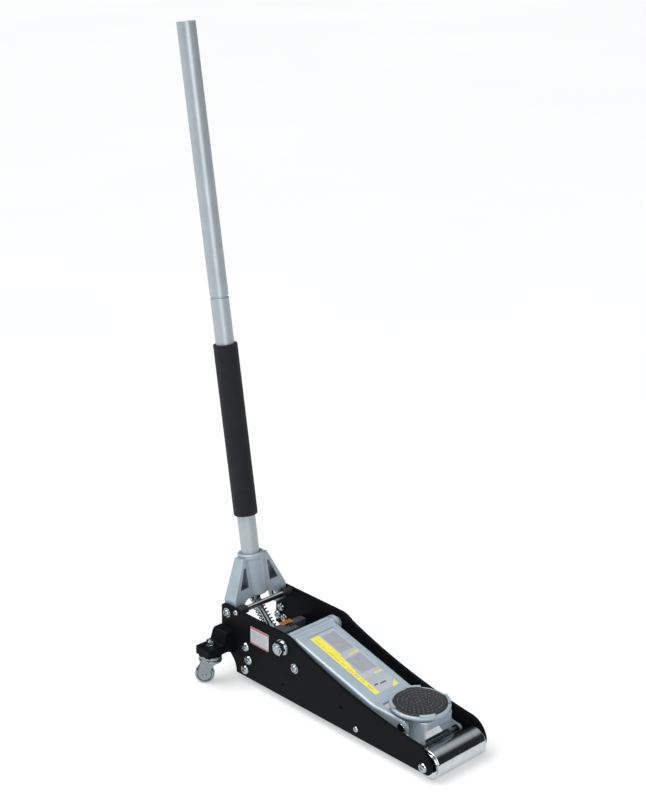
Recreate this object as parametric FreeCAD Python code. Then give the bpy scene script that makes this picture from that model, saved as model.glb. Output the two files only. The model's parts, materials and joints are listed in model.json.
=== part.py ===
import FreeCAD, Part
import math
import os

# Low-profile trolley jack, resting with its arm down and its handle up. Millimetres.
# Working datum: X forward to the roller, Y left, Z up, Z = 0 on the floor, X = 0 a little ahead
# of the handle pivot. At export every solid is moved so that the origin is the middle of the
# resting jack's footprint.

# ---------------------------------------------------------------- driving dimensions
# chassis
CHASSIS_WIDTH = 135.0          # over the two side plates
PLATE_THICKNESS = 6.0
PLATE_TOP_Z = 135.0
PLATE_BOTTOM_Z = 14.5
PLATE_REAR_OVERHANG = 16.0     # side plate behind the handle pivot
EDGE_BREAK = 0.8

# main pivots
HANDLE_PIVOT_X = -22.0
HANDLE_PIVOT_Z = 122.0
LIFT_PIVOT_X = 119.0
LIFT_PIVOT_Z = 110.5
ARM_REACH = 261.0              # lift pivot to cradle pin, level
ARM_DROP = 50.0                # lift pivot to cradle pin, down
LINK_OFFSET_X = 31.0           # parallelogram short side
LINK_OFFSET_Z = -28.5
LIFT_TRAVEL_DEG = 65.0

# front roller
ROLLER_DIAMETER = 51.0
ROLLER_END_GAP = 3.0           # between roller and side plate
ROLLER_TO_LINK_GAP = 2.0
AXLE_RADIUS = 6.0

# lift arm
ARM_HALF_WIDTH = 48.0
ARM_WALL = 4.0
ARM_TIP_RADIUS = 13.5
ARM_EDGE_RADIUS = 5.0
FORK_INNER_HALF = 36.0
FORK_THROAT = 58.0             # slot in front of this distance behind the cradle pin
HUB_RADIUS = 14.0
HUB_EAR_RADIUS = 17.0
LABEL_RECESS_DEPTH = 0.8

# saddle
SADDLE_DIAMETER = 102.0
SADDLE_TOP_Z = 90.0
SADDLE_BEHIND_PIN = 5.0
PAD_DIAMETER = 89.0
PAD_THICKNESS = 8.0
SADDLE_STEM_RADIUS = 9.0
TAB_TURN_DEG = -32.0

# cradle
CRADLE_HALF_WIDTH = 35.0
CRADLE_WALL = 4.5
CRADLE_BRIDGE = 14.5           # height of the front wall above the window
CRADLE_CORNER_RADIUS = 10.0
CRADLE_PIN_RADIUS = 6.0
CRADLE_SHAFT_RADIUS = 7.5

# control links
LINK_THICKNESS = 5.0
LINK_HEIGHT = 15.0
LINK_CENTRE_Y = 54.0
LINK_EYE_RADIUS = 8.5
LINK_PIN_RADIUS = 5.0

# ram
RAM_LEVER = 52.0               # lift pivot to ram pin
RAM_PIN_RADIUS = 6.5
RAM_ROD_RADIUS = 9.0
CYLINDER_RADIUS = 18.0
RAM_GAP = 0.7                  # push face to ram pin

# handle
HANDLE_LEAN_DEG = 9.68
HANDLE_TRAVEL_DEG = 60.0
TUBE_DIAMETER = 32.0
TUBE_WALL = 2.0
HANDLE_LENGTH = 1007.0         # pivot to the open top end, along the tube
TUBE_JOINT_AT = 549.0
GRIP_START = 161.0
GRIP_LENGTH = 305.0
GRIP_DIAMETER = 42.0

# handle socket
SOCKET_HALF_WIDTH = 60.0
SOCKET_TOP_HALF_WIDTH = 29.0
SOCKET_TOP_AT = 86.0
SOCKET_HALF_DEPTH = 15.0
SOCKET_TOP_HALF_DEPTH = 11.5
SOCKET_BOSS_RADIUS = 22.0
SOCKET_SHOULDER_AT = 20.0
SOCKET_ARCH_AT = 16.0
SOCKET_FLOOR = 20.5            # underside of the tube's seat
LEG_INNER_HALF = 42.0

# release rod and pump
RELEASE_ANGLE_DEG = 43.0
RELEASE_ROD_RADIUS = 4.6
JOINT_BALL_RADIUS = 4.6
JOINT_CUP_RADIUS = 7.0
CROSS_PIN_RADIUS = 1.4
SLOT_SIDE_GAP = 0.95           # the drive pin rocks in its slot as the handle pumps
PUMP_LEVER = 16.0              # handle pivot to pump roller
PUMP_SIDE_OFFSET = 11.0
PLUNGER_RADIUS = 6.5
PUMP_SPRING_RADIUS = 11.0
PUMP_SPRING_WIRE = 1.1
BLOCK_FACE_AT = 58.0           # sloped rear face of the pump block, along the release rod

# rear casters
CASTER_STEM_X = -24.0
CASTER_STEM_Y = 106.0
CASTER_TRAIL = 10.0            # wheel centre from the stem
CASTER_SWIVEL_DEG = 45.0       # resting turn of the wheels, outward from straight back
CASTER_WHEEL_RADIUS = 17.0
CASTER_WHEEL_WIDTH = 15.0
CASTER_RING_RADIUS = 20.5
CASTER_AXLE_RADIUS = 2.5
RACEWAY_HEIGHT = 8.0
FLANGE_BOTTOM_Z = 57.0
FLANGE_THICKNESS = 16.0
BRACKET_REAR_REACH = 14.5      # from the stem
BRACKET_FRONT_REACH = 20.0

# ---------------------------------------------------------------- fits
RUNNING_FIT = 0.05
SEAT_GAP = 0.3                 # between curved or flat faces of pieces that move on each other
SHAFT_GAP = 0.05               # a fixed bolt in its hole

# ---------------------------------------------------------------- derived places
INNER_HALF = CHASSIS_WIDTH / 2 - PLATE_THICKNESS
OUTER_HALF = CHASSIS_WIDTH / 2
PLATE_REAR_X = HANDLE_PIVOT_X - PLATE_REAR_OVERHANG
CRADLE_PIN_X = LIFT_PIVOT_X + ARM_REACH
CRADLE_PIN_Z = LIFT_PIVOT_Z - ARM_DROP
LINK_PIVOT_X = LIFT_PIVOT_X + LINK_OFFSET_X
LINK_PIVOT_Z = LIFT_PIVOT_Z + LINK_OFFSET_Z
CRADLE_SHAFT_X = CRADLE_PIN_X + LINK_OFFSET_X
CRADLE_SHAFT_Z = CRADLE_PIN_Z + LINK_OFFSET_Z
ROLLER_RADIUS = ROLLER_DIAMETER / 2
ROLLER_X = CRADLE_SHAFT_X + ROLLER_RADIUS + LINK_EYE_RADIUS + ROLLER_TO_LINK_GAP
TUBE_RADIUS = TUBE_DIAMETER / 2
LEAN = math.radians(HANDLE_LEAN_DEG)
FRONT_X = ROLLER_X + ROLLER_RADIUS
REAR_X = HANDLE_PIVOT_X - HANDLE_LENGTH * math.sin(LEAN) - TUBE_RADIUS * math.cos(LEAN)
ORIGIN_X = (FRONT_X + REAR_X) / 2

# the ram pin swings evenly about the direction square to the cylinder
RAM_MID_ANGLE_DEG = -72.5
RAM_TILT_DEG = RAM_MID_ANGLE_DEG + 90
RAM_REST_ANGLE = math.radians(RAM_MID_ANGLE_DEG - LIFT_TRAVEL_DEG / 2)
RAM_PIN_X = LIFT_PIVOT_X + RAM_LEVER * math.cos(RAM_REST_ANGLE)
RAM_PIN_Z = LIFT_PIVOT_Z + RAM_LEVER * math.sin(RAM_REST_ANGLE)
RAM_STROKE = 2 * RAM_LEVER * math.sin(math.radians(LIFT_TRAVEL_DEG / 2))
RAM_BULGE = RAM_LEVER * (1 - math.cos(math.radians(LIFT_TRAVEL_DEG / 2)))

SADDLE_X = CRADLE_PIN_X - SADDLE_BEHIND_PIN
PAD_BASE_Z = SADDLE_TOP_Z - PAD_THICKNESS
DISH_BOTTOM_Z = PAD_BASE_Z - 4.0
CRADLE_TOP_Z = DISH_BOTTOM_Z - SEAT_GAP


# ---------------------------------------------------------------- geometry helpers
def v(x, y, z):
    return FreeCAD.Vector(x, y, z)


def rod_y(x, z, radius, y0, y1):
    """Cylinder along Y."""
    return Part.makeCylinder(radius, y1 - y0, v(x, y0, z), v(0, 1, 0))


def rod_z(x, y, radius, z0, z1):
    """Cylinder along Z."""
    return Part.makeCylinder(radius, z1 - z0, v(x, y, z0), v(0, 0, 1))


def rod_x(x0, x1, radius, y=0.0, z=0.0):
    """Cylinder along X."""
    return Part.makeCylinder(radius, x1 - x0, v(x0, y, z), v(1, 0, 0))


def block(x0, x1, y0, y1, z0, z1):
    return Part.makeBox(x1 - x0, y1 - y0, z1 - z0, v(x0, y0, z0))


def face_from(steps, place):
    """Closed face from a list of steps. A step is one point (a straight edge to it), or a pair
    (middle, end) for an arc. The first step is the start. place turns 2-D points into vectors."""
    edges = []
    start = place(*steps[0])
    here = start
    for step in steps[1:]:
        if isinstance(step[0], tuple):
            middle, end = place(*step[0]), place(*step[1])
            edges.append(Part.Arc(here, middle, end).toShape())
        else:
            end = place(*step)
            edges.append(Part.LineSegment(here, end).toShape())
        here = end
    if here.distanceToPoint(start) > 1e-6:
        edges.append(Part.LineSegment(here, start).toShape())
    return Part.Face(Part.Wire(edges))


def slab_y(steps, y0, y1):
    """Outline in X and Z, with thickness along Y."""
    return face_from(steps, lambda x, z: v(x, y0, z)).extrude(v(0, y1 - y0, 0))


def slab_x(steps, x0, x1):
    """Outline in Y and Z, with thickness along X."""
    return face_from(steps, lambda y, z: v(x0, y, z)).extrude(v(x1 - x0, 0, 0))


def slab_z(steps, z0, z1):
    """Outline in X and Y, with thickness along Z."""
    return face_from(steps, lambda x, y: v(x, y, z0)).extrude(v(0, 0, z1 - z0))


def turned(steps, x=0.0, y=0.0):
    """Outline in radius and Z, turned about the vertical through x, y."""
    face = face_from(steps, lambda r, z: v(x + r, y, z))
    return face.revolve(v(x, y, 0), v(0, 0, 1), 360)


def turned_y(steps, x, z):
    """Outline in radius and Y, turned about the line along Y through x, z."""
    face = face_from(steps, lambda r, y: v(x, y, z + r))
    return face.revolve(v(x, 0, z), v(0, 1, 0), 360)


def hexagon(across_flats, height):
    """Hexagonal prism standing on the origin."""
    corner = across_flats / math.sqrt(3)
    points = [
        (corner * math.cos(math.radians(60 * k)), corner * math.sin(math.radians(60 * k)))
        for k in range(6)
    ]
    return slab_z(points, 0, height)


def nut(across_flats, height):
    """Hexagon with its corners turned down at the top."""
    top_radius = across_flats / 2
    corner = across_flats / math.sqrt(3)
    drop = 0.58 * (corner - top_radius)
    crown = turned([(0, 0), (corner, 0), (corner, height - drop), (top_radius, height), (0, height)])
    return hexagon(across_flats, height).common(crown)


def dome(radius, height, slot_width=0.0):
    """Button head standing on the origin, with an optional cross recess."""
    shoulder = 0.25 * height
    head = turned([
        (0, 0), (radius, 0), (radius, shoulder),
        ((0.74 * radius, 0.80 * height), (0.35 * radius, height)), (0, height),
    ])
    if slot_width:
        reach = 0.42 * radius
        depth = 0.45 * height
        for dx, dy in ((reach, slot_width / 2), (slot_width / 2, reach)):
            head = head.cut(block(-dx, dx, -dy, dy, height - depth, height + 1))
    return head


def on_side(shape, x, z, y, side):
    """Stand a piece made on the origin on a face of a side plate. side is -1 right, +1 left."""
    out = shape.copy()
    out.rotate(v(0, 0, 0), v(1, 0, 0), -90 * side)
    out.translate(v(x, side * y, z))
    return out


def mirrored(shape):
    return shape.mirror(v(0, 0, 0), v(0, 1, 0))


def both_sides(shape):
    return [shape, mirrored(shape)]


def handle_frame(shape):
    """From an upright handle about the origin to its leaning place on the handle pivot."""
    out = shape.copy()
    out.rotate(v(0, 0, 0), v(0, 1, 0), -HANDLE_LEAN_DEG)
    out.translate(v(HANDLE_PIVOT_X, 0, HANDLE_PIVOT_Z))
    return out


def release_frame(shape):
    """From a rod along +X to the release rod's slope, down and forward from the handle pivot."""
    out = shape.copy()
    out.rotate(v(0, 0, 0), v(0, 1, 0), RELEASE_ANGLE_DEG)
    out.translate(v(HANDLE_PIVOT_X, 0, HANDLE_PIVOT_Z))
    return out


def ram_frame(shape):
    """From a ram along +X, its pin at the origin, to the ram's slope and place."""
    out = shape.copy()
    out.rotate(v(0, 0, 0), v(0, 1, 0), -RAM_TILT_DEG)
    out.translate(v(RAM_PIN_X, 0, RAM_PIN_Z))
    return out


def break_edges(shape, keep, size):
    """Round the edges that keep picks out."""
    return shape.makeFillet(size, [edge for edge in shape.Edges if keep(edge)])


def edge_at_y(edge, y):
    return all(abs(vertex.Point.y - y) < 1e-6 for vertex in edge.Vertexes)


def across_at(edge, x, z):
    """An edge running along Y through x, z."""
    return all(math.hypot(vertex.Point.x - x, vertex.Point.z - z) < 1e-3 for vertex in edge.Vertexes)


def coil(radius, wire_radius, pitch, length):
    """Round wire wound along +X from the origin."""
    path = []
    for k in range(math.ceil(length / pitch - 0.02)):
        turn = Part.makeHelix(pitch, min(pitch, length - k * pitch), radius)
        turn.translate(v(0, 0, k * pitch))
        path += turn.Edges
    section = Part.Wire(Part.makeCircle(wire_radius, v(radius, 0, 0), v(0, 1, 0)))
    solid = Part.Wire(path).makePipeShell([section], True, True)
    solid.rotate(v(0, 0, 0), v(0, 1, 0), 90)
    return solid


nodes = {}


def add(name, *solids):
    """Keep the finished solids of one node, moved to the part's own origin."""
    placed = []
    for solid in solids:
        moved = solid.copy()
        moved.translate(v(-ORIGIN_X, 0, 0))
        placed.append(moved)
    nodes[name] = placed[0] if len(placed) == 1 else Part.makeCompound(placed)


# ---------------------------------------------------------------- fastener sizes
LIFT_SHAFT_RADIUS = 8.0
HANDLE_BOLT_RADIUS = 6.0
LINK_BOLT_RADIUS = 5.0
TIE_BOLT_RADIUS = 3.0
UNIT_BOLT_RADIUS = 4.0
BRACKET_BOLT_RADIUS = 4.0
CASTER_STEM_RADIUS = 4.0
WASHER_THICKNESS = 1.6

FRONT_TIE_X = LIFT_PIVOT_X + 0.68 * ARM_REACH
FRONT_TIE_Z = 29.0
FRONT_TIE_RADIUS = 6.0
STOP_BAR_RADIUS = 5.0
STOP_SLEEVE_RADIUS = 7.2
STOP_REACH = SOCKET_HALF_DEPTH + SEAT_GAP + STOP_SLEEVE_RADIUS
STOP_RISE = 3.4
STOP_X = HANDLE_PIVOT_X + STOP_REACH * math.cos(LEAN) - STOP_RISE * math.sin(LEAN)
STOP_Z = HANDLE_PIVOT_Z + STOP_REACH * math.sin(LEAN) + STOP_RISE * math.cos(LEAN)

RELEASE = math.radians(RELEASE_ANGLE_DEG)
BLOCK_REAR_X = HANDLE_PIVOT_X + 40.0
BLOCK_TOP_Z = 90.0
BLOCK_BOTTOM_Z = 16.5
BLOCK_FRONT_X = BLOCK_REAR_X + 23.0
BLOCK_NOSE_X = BLOCK_REAR_X + 38.0
FILLER_X = BLOCK_REAR_X + 23.0
FILLER_Y = 22.0
FILLER_SEAT_DEPTH = 2.4
UNIT_BOLTS = [
    (BLOCK_REAR_X + 8.0, 74.0),
    (BLOCK_REAR_X + 15.5, 51.0),
    (BLOCK_REAR_X + 6.5, 29.0),
]
UNIT_BOLT_DEPTH = 24.0
BRACKET_FRONT_X = CASTER_STEM_X + BRACKET_FRONT_REACH
BRACKET_REAR_X = CASTER_STEM_X - BRACKET_REAR_REACH
BRACKET_BOLTS = [
    (CASTER_STEM_X + 1.0, 88.0),
    (CASTER_STEM_X - 8.5, 69.0),
    (CASTER_STEM_X + 9.0, 69.0),
]
SPARE_HOLES = [(LIFT_PIVOT_X, 38.7), (LIFT_PIVOT_X + 0.54 * ARM_REACH, 53.6)]
SPARE_HOLE_RADIUS = 3.0


# ---------------------------------------------------------------- chassis
def side_plate_outline():
    rear, top, bottom = PLATE_REAR_X, PLATE_TOP_Z, PLATE_BOTTOM_Z
    cut = 38.5
    nose = ROLLER_X + 16.5
    slope_start = (LIFT_PIVOT_X + 33, top - 9)
    slope_end = (ROLLER_X - 23.4, 62.0)
    slope_middle = (
        (slope_start[0] + slope_end[0]) / 2 - 1.9,
        (slope_start[1] + slope_end[1]) / 2 - 8.8,
    )
    bite = cut * math.sqrt(0.5)
    return [
        (rear, bottom + cut),
        (rear, top),
        (LIFT_PIVOT_X + 9, top),
        ((LIFT_PIVOT_X + 22, top - 3), slope_start),
        (slope_middle, slope_end),
        ((nose - 11, 50.5), (nose, 29.0)),
        (nose - 1.5, bottom),
        (rear + cut, bottom),
        ((rear + bite, bottom + bite), (rear, bottom + cut)),
    ]


def plate_corners():
    """X, Z and radius of the rounded corners of a side plate."""
    nose = ROLLER_X + 16.5
    return [
        (PLATE_REAR_X, PLATE_TOP_Z, 6.0),
        (nose - 1.5, PLATE_BOTTOM_Z, 9.0),
        (nose, 29.0, 8.0),
        (ROLLER_X - 23.4, 62.0, 12.0),
    ]


def plate_holes():
    holes = [
        (ROLLER_X, ROLLER_RADIUS, AXLE_RADIUS + SHAFT_GAP),
        (LIFT_PIVOT_X, LIFT_PIVOT_Z, LIFT_SHAFT_RADIUS + SHAFT_GAP),
        (LINK_PIVOT_X, LINK_PIVOT_Z, LINK_BOLT_RADIUS + SHAFT_GAP),
        (HANDLE_PIVOT_X, HANDLE_PIVOT_Z, HANDLE_BOLT_RADIUS + SHAFT_GAP),
        (FRONT_TIE_X, FRONT_TIE_Z, TIE_BOLT_RADIUS + SHAFT_GAP),
        (STOP_X, STOP_Z, TIE_BOLT_RADIUS + SHAFT_GAP),
    ]
    holes += [(x, z, UNIT_BOLT_RADIUS + SHAFT_GAP) for x, z in UNIT_BOLTS]
    holes += [(x, z, BRACKET_BOLT_RADIUS + SHAFT_GAP) for x, z in BRACKET_BOLTS]
    holes += [(x, z, SPARE_HOLE_RADIUS) for x, z in SPARE_HOLES]
    return holes


def make_side_plates():
    plate = slab_y(side_plate_outline(), -OUTER_HALF, -INNER_HALF)
    for x, z, radius in plate_corners():
        plate = plate.makeFillet(radius, [edge for edge in plate.Edges if across_at(edge, x, z)])
    plate = break_edges(
        plate,
        lambda edge: edge_at_y(edge, -OUTER_HALF) or edge_at_y(edge, -INNER_HALF),
        EDGE_BREAK,
    )
    for x, z, radius in plate_holes():
        plate = plate.cut(rod_y(x, z, radius, -OUTER_HALF - 1, -INNER_HALF + 1))
    add("side_plate_right", plate)
    add("side_plate_left", mirrored(plate))


def make_front_roller():
    half = INNER_HALF - ROLLER_END_GAP
    bore = AXLE_RADIUS + RUNNING_FIT
    step, rim, bevel = 2.0, ROLLER_RADIUS - 4.0, 2.5
    outline = [
        (bore, -half), (rim, -half), (rim, -half + step),
        (ROLLER_RADIUS - bevel, -half + step),
        ((ROLLER_RADIUS - 0.3 * bevel, -half + step + 0.3 * bevel), (ROLLER_RADIUS, -half + step + bevel)),
        (ROLLER_RADIUS, half - step - bevel),
        ((ROLLER_RADIUS - 0.3 * bevel, half - step - 0.3 * bevel), (ROLLER_RADIUS - bevel, half - step)),
        (rim, half - step), (rim, half), (bore, half),
    ]
    add("front_roller", turned_y(outline, ROLLER_X, ROLLER_RADIUS))
    axle = rod_y(ROLLER_X, ROLLER_RADIUS, AXLE_RADIUS, -OUTER_HALF, OUTER_HALF)
    heads = [on_side(dome(8.5, 5.0, 2.2), ROLLER_X, ROLLER_RADIUS, OUTER_HALF, side) for side in (-1, 1)]
    add("front_axle", axle.fuse(heads))


def make_lift_pivot():
    washer_face = OUTER_HALF + 2.0
    nut_height = 11.5
    end = washer_face + nut_height + 3.0
    shaft = rod_y(LIFT_PIVOT_X, LIFT_PIVOT_Z, LIFT_SHAFT_RADIUS, -end, end)
    ends = lambda edge: edge_at_y(edge, -end) or edge_at_y(edge, end)
    add("lift_pivot_shaft", break_edges(shaft, ends, 1.6))
    bore = rod_z(0, 0, LIFT_SHAFT_RADIUS + SHAFT_GAP, -1, 20)
    washer = rod_z(0, 0, 14.0, 0, 2.0).cut(bore)
    flange = turned([(0, 0), (12.8, 0), (12.8, 1.4), (11.2, 3.2), (0, 3.2)])
    flange_nut = nut(21.0, nut_height).fuse(flange).cut(bore)
    place = lambda shape, y, side: on_side(shape, LIFT_PIVOT_X, LIFT_PIVOT_Z, y, side)
    add("lift_pivot_washers", *[place(washer, OUTER_HALF, side) for side in (-1, 1)])
    add("lift_pivot_nuts", *[place(flange_nut, washer_face, side) for side in (-1, 1)])


def make_small_pivots():
    """Bolts that carry the handle socket and the control links, one of each in each plate."""
    washer_face = OUTER_HALF + WASHER_THICKNESS
    link_inner = LINK_CENTRE_Y - LINK_THICKNESS / 2
    keeper_top = link_inner - washer_face - SEAT_GAP
    link_bolt = dome(6.8, 4.6, 1.8).fuse(rod_z(0, 0, LINK_BOLT_RADIUS, keeper_top, 0))
    link_bolt = link_bolt.fuse(rod_z(0, 0, 8.0, keeper_top - 1.7, keeper_top))
    spacer_low = LINK_CENTRE_Y + LINK_THICKNESS / 2 + SEAT_GAP - washer_face
    link_bolt = link_bolt.fuse(rod_z(0, 0, 7.5, spacer_low, INNER_HALF - washer_face))
    add("link_pivot_bolts", *[
        on_side(link_bolt, LINK_PIVOT_X, LINK_PIVOT_Z, washer_face, side) for side in (-1, 1)
    ])
    handle_bolt = dome(6.8, 5.0, 1.8)
    handle_bolt = handle_bolt.fuse(rod_z(0, 0, HANDLE_BOLT_RADIUS, LEG_INNER_HALF + 2 - washer_face, 0))
    add("handle_pivot_bolts", *[
        on_side(handle_bolt, HANDLE_PIVOT_X, HANDLE_PIVOT_Z, washer_face, side) for side in (-1, 1)
    ])
    washers = []
    for x, z, radius in (
        (LINK_PIVOT_X, LINK_PIVOT_Z, LINK_BOLT_RADIUS),
        (HANDLE_PIVOT_X, HANDLE_PIVOT_Z, HANDLE_BOLT_RADIUS),
    ):
        ring = rod_z(0, 0, 8.6, 0, WASHER_THICKNESS).cut(rod_z(0, 0, radius + SHAFT_GAP, -1, 3))
        washers += [on_side(ring, x, z, OUTER_HALF, side) for side in (-1, 1)]
    add("pivot_bolt_washers", *washers)


def make_ties():
    """The front cross tie, and the bar with sleeves that stops the socket upright."""
    bolt_depth = 14.0
    hole = rod_z(0, 0, TIE_BOLT_RADIUS + SHAFT_GAP, -bolt_depth - 1, 1)
    front = rod_y(FRONT_TIE_X, FRONT_TIE_Z, FRONT_TIE_RADIUS, -INNER_HALF, INNER_HALF)
    bar = rod_y(STOP_X, STOP_Z, STOP_BAR_RADIUS, -INNER_HALF, INNER_HALF)
    for side in (-1, 1):
        front = front.cut(on_side(hole, FRONT_TIE_X, FRONT_TIE_Z, OUTER_HALF, side))
        bar = bar.cut(on_side(hole, STOP_X, STOP_Z, OUTER_HALF, side))
    add("front_tie_bar", front)
    add("handle_stop_bar", bar)
    sleeve = rod_y(STOP_X, STOP_Z, STOP_SLEEVE_RADIUS, LEG_INNER_HALF + 1, INNER_HALF - 0.2)
    sleeve = sleeve.cut(rod_y(STOP_X, STOP_Z, STOP_BAR_RADIUS, LEG_INNER_HALF, INNER_HALF))
    add("handle_stop_sleeves", *both_sides(sleeve))
    bolt = dome(5.2, 3.4, 1.6).fuse(rod_z(0, 0, TIE_BOLT_RADIUS, -bolt_depth, 0))
    add("tie_bar_bolts", *[
        on_side(bolt, x, z, OUTER_HALF, side)
        for x, z in ((FRONT_TIE_X, FRONT_TIE_Z), (STOP_X, STOP_Z))
        for side in (-1, 1)
    ])


# ---------------------------------------------------------------- rear casters
def make_caster_brackets():
    foot = OUTER_HALF
    flange_top = FLANGE_BOTTOM_Z + FLANGE_THICKNESS
    tip = CASTER_STEM_Y + 20.5
    bends = {
        (foot + 19, 95.0): 8.0,
        (foot + 27, flange_top): 5.0,
        (foot + 15, FLANGE_BOTTOM_Z): 14.0,
        (tip, flange_top): 1.5,
        (tip, FLANGE_BOTTOM_Z): 1.5,
    }
    bracket = slab_x([
        (foot, 50.0), (foot, 95.0), (foot + 19, 95.0), (foot + 27, flange_top), (tip, flange_top),
        (tip, FLANGE_BOTTOM_Z), (foot + 15, FLANGE_BOTTOM_Z),
    ], BRACKET_REAR_X, BRACKET_FRONT_X)
    for (y, z), radius in bends.items():
        bracket = bracket.makeFillet(radius, [
            edge for edge in bracket.Edges
            if all(math.hypot(p.Point.y - y, p.Point.z - z) < 1e-3 for p in edge.Vertexes)
        ])
    rims = [
        edge for edge in bracket.Edges
        if all(abs(p.Point.x - BRACKET_REAR_X) < 1e-6 for p in edge.Vertexes)
        or all(abs(p.Point.x - BRACKET_FRONT_X) < 1e-6 for p in edge.Vertexes)
    ]
    bracket = bracket.makeFillet(0.8, [
        edge for edge in rims if max(p.Point.y for p in edge.Vertexes) > foot + 1
    ])
    stem_hole = rod_z(CASTER_STEM_X, CASTER_STEM_Y, CASTER_STEM_RADIUS + SHAFT_GAP, 0, 200)
    bracket = bracket.cut(stem_hole)
    for x, z in BRACKET_BOLTS:
        bracket = bracket.cut(rod_y(x, z, BRACKET_BOLT_RADIUS + SHAFT_GAP, foot - 1, foot + 13))
    add("caster_bracket_left", bracket)
    add("caster_bracket_right", mirrored(bracket))
    bolt = dome(7.8, 5.2, 2.4).fuse(rod_z(0, 0, BRACKET_BOLT_RADIUS, -17.0, 0))
    bolts = []
    for x, z in BRACKET_BOLTS:
        inside = bolt.copy()
        inside.rotate(v(0, 0, 0), v(1, 0, 0), 90)
        inside.translate(v(x, INNER_HALF, z))
        bolts += both_sides(inside)
    add("caster_bracket_bolts", *bolts)
    washer_top = flange_top + 1.2
    washer = rod_z(CASTER_STEM_X, CASTER_STEM_Y, 7.8, flange_top, washer_top).cut(stem_hole)
    add("caster_stem_washers", *both_sides(washer))
    stem_nut = nut(13.0, 7.0)
    stem_nut.translate(v(CASTER_STEM_X, CASTER_STEM_Y, washer_top))
    add("caster_stem_nuts", *both_sides(stem_nut.cut(stem_hole)))
    add("caster_raceways", *both_sides(caster_raceway(washer_top + 9.0)))


def caster_raceway(stem_top):
    """Fixed upper half of the swivel, riveted to its threaded stem."""
    top, low = FLANGE_BOTTOM_Z, FLANGE_BOTTOM_Z - RACEWAY_HEIGHT
    stem, ring = CASTER_STEM_RADIUS, CASTER_RING_RADIUS
    outline = [
        (0, low - 9.0), (stem, low - 9.0), (stem, low), (ring - 2.4, low),
        ((ring - 0.6, low + 0.8), (ring, low + 2.6)), (ring, top - 3.4),
        ((ring - 0.5, top - 2.0), (ring - 1.8, top - 1.4)), (ring - 5.0, top - 1.4), (ring - 5.0, top),
        (stem, top), (stem, stem_top - 1.0), (stem - 1.0, stem_top), (0, stem_top),
    ]
    return turned(outline, CASTER_STEM_X, CASTER_STEM_Y)


def caster_fork():
    """Swivelling half: a ring, a crown and two pressed legs that trail back to the axle."""
    x, y = CASTER_STEM_X, CASTER_STEM_Y
    top = FLANGE_BOTTOM_Z - RACEWAY_HEIGHT - SEAT_GAP
    low = top - 6.2
    bore, ring = CASTER_STEM_RADIUS + RUNNING_FIT, CASTER_RING_RADIUS
    fork = turned([
        (bore, low - 3.0), (13.0, low - 3.0), (13.0, low), (ring - 1.6, low),
        ((ring - 0.4, low + 0.5), (ring, low + 1.8)), (ring, top - 2.2),
        ((ring - 0.6, top - 0.6), (ring - 2.4, top)), (bore, top),
    ], x, y)
    axle_x, axle_z = x - CASTER_TRAIL, CASTER_WHEEL_RADIUS
    eye = 7.5
    leg_inner = CASTER_WHEEL_WIDTH / 2 + 0.8
    leg_outer = leg_inner + 2.4
    leg_outline = [
        (x - 15.5, low + 0.5), (x + 12.5, low + 0.5), (x + 12.5, low - 1.0),
        ((axle_x + eye + 4.5, axle_z + 13.0), (axle_x + eye, axle_z)),
        ((axle_x, axle_z - eye), (axle_x - eye, axle_z)),
        (x - 20.0, axle_z + 13.0),
    ]
    for inner, outer in ((leg_inner, leg_outer), (-leg_outer, -leg_inner)):
        fork = fork.fuse(slab_y(leg_outline, y + inner, y + outer))
    return fork.cut(rod_y(axle_x, axle_z, CASTER_AXLE_RADIUS, y - 30, y + 30)).removeSplitter()


def caster_wheel():
    half = CASTER_WHEEL_WIDTH / 2
    radius = CASTER_WHEEL_RADIUS
    tread = 4.0
    bore = CASTER_AXLE_RADIUS + RUNNING_FIT
    outline = [
        (bore, -half), (6.5, -half), (7.5, -half + 1.4), (radius - 5.5, -half + 1.4), (radius - 4.0, -half),
        ((radius - 1.1, -half + 1.3), (radius, -tread)), (radius, tread),
        ((radius - 1.1, half - 1.3), (radius - 4.0, half)), (radius - 5.5, half - 1.4),
        (7.5, half - 1.4), (6.5, half), (bore, half),
    ]
    wheel = turned_y(outline, CASTER_STEM_X - CASTER_TRAIL, radius)
    wheel.translate(v(0, CASTER_STEM_Y, 0))
    return wheel


def caster_axle():
    """Rivet through the legs, with a head at each end."""
    x, z = CASTER_STEM_X - CASTER_TRAIL, CASTER_WHEEL_RADIUS
    end = CASTER_WHEEL_WIDTH / 2 + 0.8 + 2.4
    axle = rod_y(x, z, CASTER_AXLE_RADIUS, -end, end)
    for side in (-1, 1):
        axle = axle.fuse(on_side(dome(4.4, 2.0), x, z, end, side))
    axle.translate(v(0, CASTER_STEM_Y, 0))
    return axle


def make_casters():
    stem = v(CASTER_STEM_X, CASTER_STEM_Y, 0)
    for label, maker in (("fork", caster_fork), ("wheel", caster_wheel), ("axle", caster_axle)):
        left = maker()
        left.rotate(stem, v(0, 0, 1), -CASTER_SWIVEL_DEG)
        add("caster_" + label + "_left", left)
        add("caster_" + label + "_right", mirrored(left))


# ---------------------------------------------------------------- power unit
def along_release(u, n):
    """X and Z of a point u along the release rod and n above it."""
    x = HANDLE_PIVOT_X + u * math.cos(RELEASE) + n * math.sin(RELEASE)
    z = HANDLE_PIVOT_Z - u * math.sin(RELEASE) + n * math.cos(RELEASE)
    return x, z


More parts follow.
